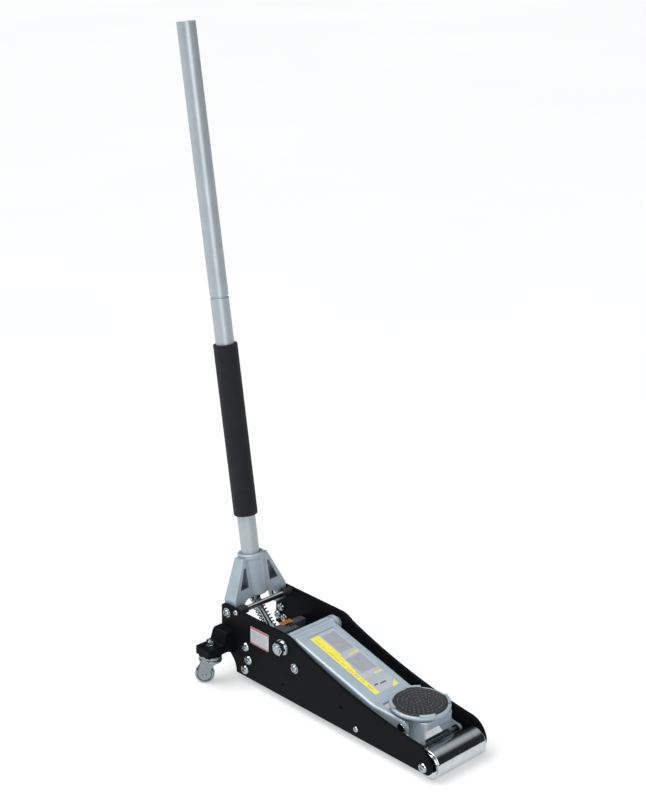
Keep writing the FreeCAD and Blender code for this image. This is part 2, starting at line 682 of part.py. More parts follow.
RAM_FACE = -RAM_PIN_RADIUS - RAM_GAP
HEAD_THICKNESS = 8.0
GLAND_FRONT = RAM_FACE - HEAD_THICKNESS - SEAT_GAP
GLAND_LENGTH = 7.0
PISTON_LENGTH = 5.0
RAM_AXIS_DROP = -RAM_BULGE / 2
CYLINDER_BORE = 12.0
CYLINDER_END = GLAND_FRONT - GLAND_LENGTH - RAM_STROKE - PISTON_LENGTH - 1.0
BARREL_FRONT = BLOCK_FACE_AT - 8.0
PLUNGER_END = BLOCK_FACE_AT + 2.0
PUMP_STROKE = 2 * PUMP_LEVER * math.sin(math.radians(HANDLE_TRAVEL_DEG / 2))
CAP_FACE = -PUMP_STROKE / 2 + 5.0 + 0.4
CAP_THICKNESS = 4.0


def make_pump_block():
    rear, front = BLOCK_REAR_X, BLOCK_FRONT_X
    low, top = BLOCK_BOTTOM_Z, BLOCK_TOP_Z
    run = math.tan(math.pi / 2 - RELEASE)
    crest_x, crest_z = along_release(BLOCK_FACE_AT, 10.0)
    crest_x += (top - crest_z) / run
    shoulder_z = top - (crest_x - rear) * run
    toe_x, toe_z = along_release(BLOCK_FACE_AT, -PUMP_LEVER - 12.0)
    body = slab_y([(rear, low), (front, low), (front, top), (crest_x, top), (rear, shoulder_z)],
                  -INNER_HALF, INNER_HALF)
    nose = slab_y([(front, low), (BLOCK_NOSE_X, low), (BLOCK_NOSE_X, top), (front, top)], -31.0, 31.0)
    boss = slab_y([(rear, 46.0), (rear, shoulder_z), (toe_x, toe_z), (toe_x + 7, 52.0)],
                  -13.0, PUMP_SIDE_OFFSET + 14.0)
    unit = body.fuse([nose, boss]).removeSplitter()
    edges = [
        edge for edge in unit.Edges
        if all(abs(vertex.Point.z - top) < 1e-6 for vertex in edge.Vertexes)
        or all(abs(vertex.Point.x - front) < 1e-6 and abs(vertex.Point.y) > 32 for vertex in edge.Vertexes)
    ]
    unit = unit.makeChamfer(1.0, edges)
    # cylinder seat and bore
    unit = unit.cut(ram_frame(rod_x(CYLINDER_END + 14.0, 0, CYLINDER_RADIUS, 0, RAM_AXIS_DROP)))
    unit = unit.cut(ram_frame(rod_x(CYLINDER_END, 0, CYLINDER_BORE, 0, RAM_AXIS_DROP)))
    # release and pump bores
    unit = unit.cut(release_frame(rod_x(0, BLOCK_FACE_AT + 14, RELEASE_ROD_RADIUS + RUNNING_FIT)))
    unit = unit.cut(release_frame(
        rod_x(0, PLUNGER_END + PUMP_STROKE + 2, PLUNGER_RADIUS + RUNNING_FIT, PUMP_SIDE_OFFSET, -PUMP_LEVER)
    ))
    # filler hole with a shallow round seat
    unit = unit.cut(rod_z(FILLER_X, FILLER_Y, 4.0, top - 9, top + 1))
    unit = unit.cut(rod_z(FILLER_X, FILLER_Y, 7.9, top - FILLER_SEAT_DEPTH, top + 1))
    for x, z in UNIT_BOLTS:
        for side in (-1, 1):
            hole = rod_z(0, 0, UNIT_BOLT_RADIUS + SHAFT_GAP, -UNIT_BOLT_DEPTH - 1, 1)
            unit = unit.cut(on_side(hole, x, z, OUTER_HALF, side))
    add("pump_block", unit)


def make_power_unit():
    make_pump_block()
    bolt = dome(8.6, 5.8, 2.6).fuse(rod_z(0, 0, UNIT_BOLT_RADIUS, -UNIT_BOLT_DEPTH, 0))
    add("power_unit_bolts", *[
        on_side(bolt, x, z, OUTER_HALF, side) for x, z in UNIT_BOLTS for side in (-1, 1)
    ])
    top = BLOCK_TOP_Z
    plug = rod_z(FILLER_X, FILLER_Y, 4.0, top - 9, top - FILLER_SEAT_DEPTH)
    plug = plug.fuse(rod_z(FILLER_X, FILLER_Y, 6.6, top - FILLER_SEAT_DEPTH, top + 1.0))
    slot = block(FILLER_X - 9, FILLER_X + 9, FILLER_Y - 1.1, FILLER_Y + 1.1, top - 1.0, top + 3)
    add("filler_plug", plug.cut(slot))

    gland_rear = GLAND_FRONT - GLAND_LENGTH
    drop = RAM_AXIS_DROP
    tube = rod_x(CYLINDER_END + 14.0, gland_rear, CYLINDER_RADIUS, 0, drop)
    tube = tube.cut(rod_x(CYLINDER_END + 13.0, gland_rear + 1, CYLINDER_BORE, 0, drop))
    add("ram_cylinder", ram_frame(tube))
    gland = rod_x(gland_rear, GLAND_FRONT, CYLINDER_RADIUS + 1.0, 0, drop)
    gland = gland.makeChamfer(1.2, [
        edge for edge in gland.Edges if edge.Closed and edge.Vertexes[0].Point.x > gland_rear + 1
    ])
    rod_hole = rod_x(gland_rear - 1, 0, RAM_ROD_RADIUS + RUNNING_FIT, 0, drop)
    add("ram_gland", ram_frame(gland.cut(rod_hole)))
    piston_rear = CYLINDER_END + 0.5
    rod = rod_x(piston_rear, RAM_FACE - HEAD_THICKNESS, RAM_ROD_RADIUS, 0, drop)
    rod = rod.fuse(rod_x(piston_rear, piston_rear + PISTON_LENGTH, CYLINDER_BORE - RUNNING_FIT, 0, drop))
    add("ram_rod", ram_frame(rod))
    head = block(RAM_FACE - HEAD_THICKNESS, RAM_FACE, -20, 20, drop - 13, drop + 13)
    head = head.makeFillet(3.0, [e for e in head.Edges if e.Length < HEAD_THICKNESS + 0.1])
    add("ram_push_head", ram_frame(head))
    add("return_springs", *both_sides(ram_frame(return_spring())))

    barrel = nut(15.0, 8.0)
    barrel.rotate(v(0, 0, 0), v(0, 1, 0), 90)
    barrel.translate(v(BARREL_FRONT, PUMP_SIDE_OFFSET, -PUMP_LEVER))
    barrel = barrel.common(rod_x(0, 100, 8.2, PUMP_SIDE_OFFSET, -PUMP_LEVER))
    barrel = barrel.cut(rod_x(0, 100, PLUNGER_RADIUS + RUNNING_FIT, PUMP_SIDE_OFFSET, -PUMP_LEVER))
    add("pump_barrel", release_frame(barrel))
    gland_nut = nut(14.0, 7.0)
    gland_nut.rotate(v(0, 0, 0), v(0, 1, 0), -90)
    gland_nut.translate(v(BLOCK_FACE_AT, 0, 0))
    gland_nut = gland_nut.cut(rod_x(0, 100, RELEASE_ROD_RADIUS + RUNNING_FIT))
    add("release_gland", release_frame(gland_nut))


def return_spring():
    """Extension spring beside the cylinder, from the block's nose to the ram pin."""
    y = 26.5
    front = -RAM_PIN_RADIUS
    tilt = math.radians(RAM_TILT_DEG)
    wire, radius = 0.9, 3.8
    rear = (BLOCK_NOSE_X - RAM_PIN_X) / math.cos(tilt) + (radius + 2 * wire) * math.tan(tilt)
    lead = 4.0
    body = coil(radius, wire, 2.6, front - rear - 2 * lead)
    body.translate(v(rear + lead, y, 0))
    first = rod_x(rear, rear + lead, wire, y, radius)
    last = rod_x(front - lead, front, wire, y, radius)
    return body.fuse([first, last])


# ---------------------------------------------------------------- pump and release
def make_pump():
    y, z = PUMP_SIDE_OFFSET, -PUMP_LEVER
    cap_back = CAP_FACE + CAP_THICKNESS
    plunger = rod_x(cap_back, PLUNGER_END, PLUNGER_RADIUS, y, z)
    cap = rod_x(CAP_FACE, cap_back, PUMP_SPRING_RADIUS, y, z)
    cap = cap.makeFillet(0.8, [edge for edge in cap.Edges if edge.Closed])
    add("pump_plunger", release_frame(plunger.fuse(cap)))
    gap = 0.1
    length = BLOCK_FACE_AT - cap_back - 2 * (gap + PUMP_SPRING_WIRE)
    spring = coil(PUMP_SPRING_RADIUS - PUMP_SPRING_WIRE, PUMP_SPRING_WIRE, 6.4, length)
    spring.translate(v(cap_back + gap + PUMP_SPRING_WIRE, y, z))
    add("pump_spring", release_frame(spring))

    bore = JOINT_BALL_RADIUS + SEAT_GAP
    mouth = -1.5
    cup = rod_x(mouth, 12.0, JOINT_CUP_RADIUS).cut(rod_x(mouth - 1, 0, bore))
    cup = cup.cut(Part.makeSphere(bore, v(0, 0, 0)))
    slot_depth = 6.2
    slot_half = CROSS_PIN_RADIUS + SLOT_SIDE_GAP
    cup = cup.cut(block(mouth - 1, slot_depth, -10, 10, -slot_half, slot_half))
    cup = cup.cut(rod_x(0, slot_depth, bore))
    rod = rod_x(slot_depth + 2, BLOCK_FACE_AT + 12, RELEASE_ROD_RADIUS)
    collar = rod_x(12.0, 17.0, 6.0)
    add("release_rod", release_frame(cup.fuse([collar, rod]).removeSplitter()))


# ---------------------------------------------------------------- handle
def rounded_rectangle(half_x, half_y, radius, z):
    """Wire of a rectangle with round corners, level at z."""
    edges = []
    for k, (sx, sy) in enumerate(((1, 1), (-1, 1), (-1, -1), (1, -1))):
        centre = v(sx * (half_x - radius), sy * (half_y - radius), z)
        arc = Part.makeCircle(radius, centre, v(0, 0, 1), 90 * k, 90 * k + 90)
        edges.append(arc)
        if k % 2 == 0:
            start = v(sx * (half_x - radius), sy * half_y, z)
            end = v(-sx * (half_x - radius), sy * half_y, z)
        else:
            start = v(sx * half_x, sy * (half_y - radius), z)
            end = v(sx * half_x, -sy * (half_y - radius), z)
        edges.append(Part.makeLine(start, end))
    return Part.Wire(edges)


def make_handle_socket():
    top, shoulder = SOCKET_TOP_AT, SOCKET_SHOULDER_AT
    wide, narrow = SOCKET_HALF_WIDTH, SOCKET_TOP_HALF_WIDTH
    depth, top_depth = SOCKET_HALF_DEPTH, SOCKET_TOP_HALF_DEPTH
    arch = SOCKET_ARCH_AT
    inner = LEG_INNER_HALF
    low = rounded_rectangle(depth, wide, 2.5, -depth)
    mid = rounded_rectangle(depth, wide, 2.5, shoulder)
    high = rounded_rectangle(top_depth, narrow, 2.5, top)
    body = Part.makeLoft([low, mid], True, True).fuse(Part.makeLoft([mid, high], True, True))
    foot = slab_y([
        (-depth, 0), (-depth, top), (depth, top), (depth, 0), ((0, -depth), (-depth, 0)),
    ], -100, 100)
    body = body.common(foot)
    between_legs = slab_x([
        (-inner, -depth - 1), (-inner, 2.0), ((-inner + 5.0, arch - 5.0), (-inner + 17, arch)),
        (inner - 17, arch), ((inner - 5.0, arch - 5.0), (inner, 2.0)), (inner, -depth - 1),
    ], -40, 40)
    body = body.cut(between_legs)
    pocket = slab_x([(24.5, 34.0), (44.0, 34.0), (28.5, 70.0), (24.5, 70.0)], -40, 40)
    along_x = [e for e in pocket.Edges if abs(e.Vertexes[0].Point.x - e.Vertexes[-1].Point.x) > 1]
    pocket = pocket.makeFillet(1.5, along_x)
    for shape in both_sides(pocket):
        body = body.cut(shape)
    neck, collar = SOCKET_BOSS_RADIUS, SOCKET_BOSS_RADIUS + 1.4
    boss = turned([
        (0, arch), (neck - 2, arch), (neck, arch + 2), (neck, top - 3), (collar, top - 2.2),
        (collar, top + 4), (neck, top + 5.4), (0, top + 5.4),
    ])
    body = body.fuse(boss).removeSplitter()
    body = body.cut(rod_z(0, 0, TUBE_RADIUS + RUNNING_FIT, SOCKET_FLOOR, top + 20))
    body = body.cut(rod_z(0, 0, 7.5, 0, SOCKET_FLOOR + 1))
    body = body.cut(rod_y(0, 0, HANDLE_BOLT_RADIUS + RUNNING_FIT, -wide - 1, wide + 1))
    add("handle_socket", handle_frame(body))


def make_pump_cam():
    """Black bracket under the socket that carries the small roller which works the plunger."""
    world = math.radians(270 - RELEASE_ANGLE_DEG - HANDLE_TRAVEL_DEG / 2)
    local = world - LEAN
    px, pz = PUMP_LEVER * math.cos(local), PUMP_LEVER * math.sin(local)
    y = PUMP_SIDE_OFFSET
    ear = slab_y([
        (px - 4.6, 16.0), (px - 4.6, pz), ((px, pz - 4.6), (px + 4.6, pz)), (px + 4.6, 16.0),
    ], y - 8.4, y - 5.9)
    far_ear = ear.copy()
    far_ear.translate(v(0, 14.3, 0))
    plate = block(px - 4.6, px + 8.0, y - 8.4, y + 8.4, 13.4, 16.0)
    pin_hole = rod_y(px, pz, 2.5, -50, 50)
    bracket = plate.fuse([ear, far_ear]).removeSplitter().cut(pin_hole)
    add("pump_roller_bracket", handle_frame(bracket))
    pin = rod_y(px, pz, 2.5, y - 9.4, y + 9.4)
    add("pump_roller_pin", handle_frame(pin))
    roller = rod_y(px, pz, 5.0, y - 5.4, y + 5.4).cut(rod_y(px, pz, 2.5 + RUNNING_FIT, -50, 50))
    add("pump_roller", handle_frame(roller))


def make_handle():
    inner = TUBE_RADIUS - TUBE_WALL
    bottom = SOCKET_FLOOR + 0.5
    joint, top = TUBE_JOINT_AT, HANDLE_LENGTH
    neck = 3.0
    lower = rod_z(0, 0, TUBE_RADIUS, bottom, joint - neck).cut(rod_z(0, 0, inner, bottom - 1, joint))
    rims = [
        edge for edge in lower.Edges
        if edge.Closed and abs(edge.Vertexes[0].Point.z - (joint - neck)) < 1e-6
    ]
    add("handle_lower_tube", handle_frame(lower.makeFillet(0.7, rims)))
    upper = turned([
        (inner, joint), (TUBE_RADIUS - 1.2, joint),
        ((TUBE_RADIUS - 0.35, joint + 0.35), (TUBE_RADIUS, joint + 1.2)),
        (TUBE_RADIUS, top - 0.6), (TUBE_RADIUS - 0.6, top), (inner, top),
    ])
    add("handle_upper_tube", handle_frame(upper))
    sleeve = rod_z(0, 0, inner, joint - 60, joint + 60)
    sleeve = sleeve.cut(rod_z(0, 0, inner - TUBE_WALL, joint - 61, joint + 61))
    add("handle_joint_sleeve", handle_frame(sleeve))
    grip = turned([
        (TUBE_RADIUS, GRIP_START), (GRIP_DIAMETER / 2 - 1.5, GRIP_START),
        ((GRIP_DIAMETER / 2 - 0.45, GRIP_START + 0.45), (GRIP_DIAMETER / 2, GRIP_START + 1.5)),
        (GRIP_DIAMETER / 2, GRIP_START + GRIP_LENGTH - 1.5),
        ((GRIP_DIAMETER / 2 - 0.45, GRIP_START + GRIP_LENGTH - 0.45),
         (GRIP_DIAMETER / 2 - 1.5, GRIP_START + GRIP_LENGTH)),
        (TUBE_RADIUS, GRIP_START + GRIP_LENGTH),
    ])
    add("handle_grip", handle_frame(grip))
    plug = turned([
        (0, 0), (2.8, 0), (2.8, 8.0), (4.0, 10.0), (4.0, bottom), (inner, bottom), (inner, bottom + 22),
        (0, bottom + 22),
    ])
    plug = plug.fuse(Part.makeSphere(JOINT_BALL_RADIUS, v(0, 0, 0)))
    plug = plug.cut(rod_y(0, 0, CROSS_PIN_RADIUS, -10, 10))
    add("handle_drive_plug", handle_frame(plug))
    add("drive_cross_pin", handle_frame(rod_y(0, 0, CROSS_PIN_RADIUS, -6.6, 6.6)))


# ---------------------------------------------------------------- lift arm and saddle
def make_lift_arm():
    x0, z0 = LIFT_PIVOT_X, LIFT_PIVOT_Z
    tip_x, tip_z = CRADLE_PIN_X, CRADLE_PIN_Z
    tip = ARM_TIP_RADIUS
    bend_x, bend_z = tip_x - FORK_THROAT - 10, tip_z + tip
    rear_x, rear_z = x0 - 10, z0 + 16.5
    lug = 12.5
    outline = [
        (rear_x, rear_z), (bend_x, bend_z),
        (tip_x + tip, tip_z + tip), (tip_x + tip, tip_z - tip),
        (RAM_PIN_X + 10, RAM_PIN_Z - lug),
        (RAM_PIN_X, RAM_PIN_Z - lug),
        ((RAM_PIN_X - lug, RAM_PIN_Z), (RAM_PIN_X - 6, RAM_PIN_Z + lug)),
        (rear_x, rear_z - 34),
    ]
    half, wall = ARM_HALF_WIDTH, ARM_WALL
    arm = slab_y(outline, -half, half)
    arm = arm.makeFillet(40.0, [e for e in arm.Edges if across_at(e, bend_x, bend_z)])
    arm = arm.makeFillet(4.0, [e for e in arm.Edges if across_at(e, rear_x, rear_z)])
    top_edges = [
        e for e in arm.Edges
        if (edge_at_y(e, half) or edge_at_y(e, -half))
        and all(p.Point.z > bend_z - 0.1 and p.Point.x > rear_x + 3 for p in e.Vertexes)
    ]
    arm = arm.makeFillet(ARM_EDGE_RADIUS, top_edges)
    tip_end = block(tip_x, tip_x + 50, -100, 100, tip_z - 30, tip_z + 30)
    arm = arm.cut(tip_end.cut(rod_y(tip_x, tip_z, tip, -100, 100)))
    run = math.hypot(bend_x - rear_x, rear_z - bend_z)
    skin = wall * run / (bend_x - rear_x)
    inside = slab_y([
        (rear_x - 40, rear_z + 40 * (rear_z - bend_z) / (bend_x - rear_x) - skin),
        (bend_x, bend_z - skin), (tip_x + 30, bend_z - skin), (tip_x + 30, 0), (rear_x - 40, 0),
    ], -half + wall, half - wall)
    arm = arm.cut(inside)
    throat = tip_x - FORK_THROAT
    slot = slab_z([
        (throat, -FORK_INNER_HALF + 8), (throat, FORK_INNER_HALF - 8),
        ((throat + 2.34, FORK_INNER_HALF - 2.34), (throat + 8, FORK_INNER_HALF)),
        (tip_x + 40, FORK_INNER_HALF), (tip_x + 40, -FORK_INNER_HALF), (throat + 8, -FORK_INNER_HALF),
        ((throat + 2.34, -FORK_INNER_HALF + 2.34), (throat, -FORK_INNER_HALF + 8)),
    ], 0, 200)
    arm = arm.cut(slot)
    # the top flange stops short of the rounded cheek ends
    arm = arm.cut(block(tip_x + tip - 4.5, tip_x + 40, -half + wall, half - wall, 0, 200))
    arm = arm.cut(label_recess(rear_x, rear_z, bend_x, bend_z))
    arm = arm.cut(rod_y(x0, z0, HUB_RADIUS, -100, 100))
    arm = arm.cut(rod_y(RAM_PIN_X, RAM_PIN_Z, RAM_PIN_RADIUS, -100, 100))
    arm = arm.cut(rod_y(tip_x, tip_z, CRADLE_PIN_RADIUS, -100, 100))
    add("lift_arm", arm)

    ear_out = half + 7.0
    hub_end = INNER_HALF - SEAT_GAP
    bore = LIFT_SHAFT_RADIUS + RUNNING_FIT
    hub = turned_y([
        (bore, -hub_end), (12.0, -hub_end), (12.0, -ear_out), (HUB_EAR_RADIUS - 1, -ear_out),
        (HUB_EAR_RADIUS, -ear_out + 1), (HUB_EAR_RADIUS, -half), (HUB_RADIUS, -half), (HUB_RADIUS, half),
        (HUB_EAR_RADIUS, half), (HUB_EAR_RADIUS, ear_out - 1), (HUB_EAR_RADIUS - 1, ear_out), (12.0, ear_out),
        (12.0, hub_end), (bore, hub_end),
    ], x0, z0)
    add("arm_hub_tube", hub)
    add("ram_cross_pin", rod_y(RAM_PIN_X, RAM_PIN_Z, RAM_PIN_RADIUS, -half, half))
    pin = rod_y(tip_x, tip_z, CRADLE_PIN_RADIUS, CRADLE_HALF_WIDTH - CRADLE_WALL - 3, half)
    head = rod_y(tip_x, tip_z, 8.0, half, half + 2.6)
    head = head.makeFillet(1.2, [e for e in head.Edges if e.Closed and edge_at_y(e, half + 2.6)])
    add("cradle_pivot_pins", *both_sides(pin.fuse(head)))


def label_recess(rear_x, rear_z, bend_x, bend_z):
    """Shallow panel in the sloping top, where the label sits."""
    slope = math.degrees(math.atan2(rear_z - bend_z, bend_x - rear_x))
    length = math.hypot(bend_x - rear_x, rear_z - bend_z)
    start, end = 29.0, length - 10.0
    panel = block(start, end, -27.5, 34.5, -LABEL_RECESS_DEPTH, 5)
    panel = panel.makeFillet(3.0, [
        edge for edge in panel.Edges
        if abs(edge.Vertexes[0].Point.z - edge.Vertexes[1].Point.z) > 1
    ])
    panel.rotate(v(0, 0, 0), v(0, 1, 0), slope)
    panel.translate(v(rear_x, 0, rear_z))
    return panel


def make_cradle():
    x, z = CRADLE_PIN_X, CRADLE_PIN_Z
    sx, sz = CRADLE_SHAFT_X, CRADLE_SHAFT_Z
    half, wall = CRADLE_HALF_WIDTH, CRADLE_WALL
    rear, front = x - 33.0, sx + 8.0
    top = CRADLE_TOP_Z
    lug = 8.0
    outline = [
        (rear, top), (front, top), (front, sz),
        ((sx, sz - lug), (sx - lug * 0.8, sz - lug * 0.6)),
        (x - 8, z - 9.5), (rear, z + 4.0),
    ]
    cradle = slab_y(outline, -half, half)
    corner = CRADLE_CORNER_RADIUS
    for side in (-1, 1):
        y_low, y_high = sorted((side * (half - corner), side * (half + 1)))
        square = block(front - corner, front + 1, y_low, y_high, 0, top + 1)
        round_end = rod_z(front - corner, side * (half - corner), corner, -1, top + 2)
        cradle = cradle.cut(square.cut(round_end))
    crown = [
        e for e in cradle.Edges
        if all(abs(p.Point.z - top) < 1e-6 for p in e.Vertexes)
        and not all(abs(p.Point.x - rear) < 1e-6 for p in e.Vertexes)
    ]
    cradle = cradle.makeFillet(3.0, crown)
    cradle = cradle.cut(block(rear - 1, front - wall, -half + wall, half - wall, 0, top - wall))
    cradle = cradle.cut(block(front - wall - 1, front + 1, -half + wall, half - wall, 0, top - CRADLE_BRIDGE))
    cradle = cradle.cut(rod_y(x, z, CRADLE_PIN_RADIUS + RUNNING_FIT, -100, 100))
    cradle = cradle.cut(rod_y(sx, sz, CRADLE_SHAFT_RADIUS, -100, 100))
    cradle = cradle.cut(rod_z(SADDLE_X, 0, SADDLE_STEM_RADIUS + RUNNING_FIT, 0, top + 1))
    add("saddle_cradle", cradle)
    inner_shoulder = LINK_CENTRE_Y - LINK_THICKNESS / 2 - SEAT_GAP
    outer_shoulder = LINK_CENTRE_Y + LINK_THICKNESS / 2 + SEAT_GAP
    shaft = rod_y(sx, sz, CRADLE_SHAFT_RADIUS, -inner_shoulder, inner_shoulder)
    shaft = shaft.fuse(rod_y(sx, sz, LINK_PIN_RADIUS, -outer_shoulder - 1, outer_shoulder + 1))
    for y0, y1 in ((outer_shoulder, outer_shoulder + 1.6), (-outer_shoulder - 1.6, -outer_shoulder)):
        shaft = shaft.fuse(rod_y(sx, sz, 7.4, y0, y1))
    add("cradle_shaft", shaft.removeSplitter())


def make_saddle():
    rim = SADDLE_DIAMETER / 2
    inner = PAD_DIAMETER / 2 + SEAT_GAP
    low, floor, top = DISH_BOTTOM_Z, PAD_BASE_Z, SADDLE_TOP_Z - 3.2
    clip_top = CRADLE_TOP_Z - CRADLE_WALL - SEAT_GAP
    stem_low = clip_top - 3.4
    stem = SADDLE_STEM_RADIUS
    dish = turned([
        (0, stem_low), (stem, stem_low), (stem, low), (rim - 7.0, low),
        ((rim - 1.6, low + 1.9), (rim, low + 5.4)), ((rim - 1.0, top - 0.9), (rim - 3.4, top)),
        (inner, top - 0.8), (inner, floor), (0, floor),
    ], SADDLE_X)
    tab_ring = turned([
        (inner + 0.4, top - 3), (rim - 0.8, top - 3), (rim - 0.8, SADDLE_TOP_Z - 0.8),
        (rim - 1.8, SADDLE_TOP_Z), (inner + 1.2, SADDLE_TOP_Z), (inner + 0.4, SADDLE_TOP_Z - 0.8),
    ], SADDLE_X)
    tab_half = 13.0
    cross = block(SADDLE_X - 80, SADDLE_X + 80, -tab_half, tab_half, 0, 200)
    cross = cross.fuse(block(SADDLE_X - tab_half, SADDLE_X + tab_half, -80, 80, 0, 200))
    cross.rotate(v(SADDLE_X, 0, 0), v(0, 0, 1), TAB_TURN_DEG)
    dish = dish.fuse(tab_ring.common(cross)).removeSplitter()
    groove = rod_z(SADDLE_X, 0, stem + 1, clip_top - 1.5, clip_top).cut(
        rod_z(SADDLE_X, 0, stem - 1.2, clip_top - 1.5, clip_top)
    )
    add("saddle_dish", dish.cut(groove))
    pad = rod_z(SADDLE_X, 0, PAD_DIAMETER / 2, floor, SADDLE_TOP_Z)
    rim_edge = [e for e in pad.Edges if e.Closed and abs(e.Vertexes[0].Point.z - SADDLE_TOP_Z) < 1e-6]
    add("saddle_pad", pad.makeFillet(1.0, rim_edge))
    clip = rod_z(SADDLE_X, 0, stem + 3, clip_top - 1.5, clip_top).cut(
        rod_z(SADDLE_X, 0, stem - 1.2, clip_top - 2, clip_top + 1)
    )
    add("saddle_retaining_clip", clip.cut(block(SADDLE_X - 3, SADDLE_X + 3, 0, 20, 0, 200)))


def make_control_links():
    bx, bz, dx, dz = LINK_PIVOT_X, LINK_PIVOT_Z, CRADLE_SHAFT_X, CRADLE_SHAFT_Z
    length = math.hypot(dx - bx, dz - bz)
    eye = LINK_EYE_RADIUS
    waist = LINK_HEIGHT / 2
    y0 = LINK_CENTRE_Y - LINK_THICKNESS / 2
    y1 = LINK_CENTRE_Y + LINK_THICKNESS / 2
    bar = slab_y([(0, -waist), (length, -waist), (length, waist), (0, waist)], y0, y1)
    bar = bar.fuse([rod_y(0, 0, eye, y0, y1), rod_y(length, 0, eye, y0, y1)]).removeSplitter()
    bar = bar.cut(rod_y(0, 0, LINK_BOLT_RADIUS + RUNNING_FIT, 0, 100))
    bar = bar.cut(rod_y(length, 0, LINK_PIN_RADIUS + RUNNING_FIT, 0, 100))
    bar.rotate(v(0, 0, 0), v(0, 1, 0), math.degrees(math.atan2(bz - dz, dx - bx)))
    bar.translate(v(bx, 0, bz))
    add("control_link_left", bar)
    add("control_link_right", mirrored(bar))


# ---------------------------------------------------------------- build and write
def build():
    make_side_plates()
    make_front_roller()
    make_lift_pivot()
    make_small_pivots()
    make_ties()
    make_caster_brackets()
    make_casters()
    make_power_unit()
    make_pump()
    make_handle_socket()
    make_pump_cam()
    make_handle()
    make_lift_arm()
    make_cradle()
    make_saddle()
    make_control_links()


def write():
    os.makedirs("parts", exist_ok=True)
    for name, shape in nodes.items():
        shape.exportStep("parts/" + name + ".step")
    print(len(nodes), "nodes")


build()
write()
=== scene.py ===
"""Trolley jack: finishes, saddle pad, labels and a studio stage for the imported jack."""
import json
import math

import bpy
from mathutils import Matrix, Vector


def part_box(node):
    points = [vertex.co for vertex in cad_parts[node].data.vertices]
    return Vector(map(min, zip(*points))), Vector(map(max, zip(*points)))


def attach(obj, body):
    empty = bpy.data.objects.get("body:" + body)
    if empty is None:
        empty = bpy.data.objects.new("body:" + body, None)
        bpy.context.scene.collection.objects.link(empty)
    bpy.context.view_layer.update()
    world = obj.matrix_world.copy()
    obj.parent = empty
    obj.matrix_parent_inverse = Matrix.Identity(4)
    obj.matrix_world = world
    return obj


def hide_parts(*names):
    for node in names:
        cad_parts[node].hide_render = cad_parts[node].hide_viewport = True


bl_info = {
    "name": "Trolley jack",
    "version": (1, 0, 0),
    "blender": (4, 5, 0),
    "location": "3D View > Sidebar > Jack",
    "description": "Finishes, saddle pad, labels and stage for a low-profile trolley jack",
    "category": "Object",
}

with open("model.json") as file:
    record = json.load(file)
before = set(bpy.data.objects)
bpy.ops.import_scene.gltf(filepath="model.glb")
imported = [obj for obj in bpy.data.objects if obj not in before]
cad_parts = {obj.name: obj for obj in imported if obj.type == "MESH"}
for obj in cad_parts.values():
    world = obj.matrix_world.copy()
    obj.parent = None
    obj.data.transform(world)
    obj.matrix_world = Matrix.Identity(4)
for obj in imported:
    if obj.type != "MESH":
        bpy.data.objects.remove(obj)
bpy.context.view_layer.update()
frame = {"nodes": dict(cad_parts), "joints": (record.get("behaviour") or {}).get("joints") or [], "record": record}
JOINT = {joint["name"]: joint for joint in frame["joints"]}
MM = 0.001


def pivot(name):
    """Where a joint turns, in the jack's own frame."""
    return Vector(JOINT[name]["pos_m"])


LIFT = pivot("lift")
CRADLE = pivot("cradle_level")
HANDLE = pivot("handle_pump")
HANDLE_AXIS = Vector(JOINT["handle_twist"]["axis"])
HANDLE_LEAN = math.atan2(-HANDLE_AXIS.x, HANDLE_AXIS.z)
PAD_LOW, PAD_HIGH = (Vector(corner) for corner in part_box("saddle_pad"))


# ---------------------------------------------------------------- what a user would change
class JackPaint(bpy.types.PropertyGroup):
    silver: bpy.props.FloatVectorProperty(
        name="Silver paint", description="Paint of the arm, links, cradle and handle socket",
        subtype="COLOR", size=3, min=0, max=1, default=(0.35, 0.43, 0.485))
    black: bpy.props.FloatVectorProperty(
        name="Black coat", description="Powder coat of the side plates and caster brackets",
        subtype="COLOR", size=3, min=0, max=1, default=(0.0042, 0.0052, 0.0062))
    yellow: bpy.props.FloatVectorProperty(
        name="Label yellow", description="Yellow of the label on the arm",
        subtype="COLOR", size=3, min=0, max=1, default=(0.78, 0.69, 0.075))
    # On the cast paint this also sets a painted edge highlight.
    wear: bpy.props.FloatProperty(
        name="Edge wear", description="How much paint has gone from the edges",
        subtype="FACTOR", min=0, max=1, default=0.35)


class JackPad(bpy.types.PropertyGroup):
    knob_pitch: bpy.props.FloatProperty(
        name="Knob spacing", description="Distance between the knobs of the saddle pad",
        unit="LENGTH", min=4 * MM, max=20 * MM, default=7.3 * MM)
    knob_radius: bpy.props.FloatProperty(
        name="Knob radius", description="Radius of a knob at its foot",
        unit="LENGTH", min=1 * MM, max=8 * MM, default=2.2 * MM)
    knob_height: bpy.props.FloatProperty(
        name="Knob height", description="How far a knob stands above the pad",
        unit="LENGTH", min=0.5 * MM, max=4 * MM, default=2.2 * MM)


class JackStage(bpy.types.PropertyGroup):
    azimuth: bpy.props.FloatProperty(
        name="Camera azimuth", description="Angle round the jack from its right side",
        subtype="ANGLE", default=math.radians(45.782))
    elevation: bpy.props.FloatProperty(
        name="Camera elevation", description="Angle above the floor",
        subtype="ANGLE", default=math.radians(20.637))
    roll: bpy.props.FloatProperty(
        name="Camera roll", description="Turn about the line of sight",
        subtype="ANGLE", default=math.radians(0.681))
    distance: bpy.props.FloatProperty(
        name="Camera distance", description="From the aim point to the camera",
        unit="LENGTH", default=2.9248)
    aim: bpy.props.FloatVectorProperty(
        name="Aim point", description="Where the camera looks", subtype="TRANSLATION",
        size=3, default=(0.0077, 0.0, 0.5508))


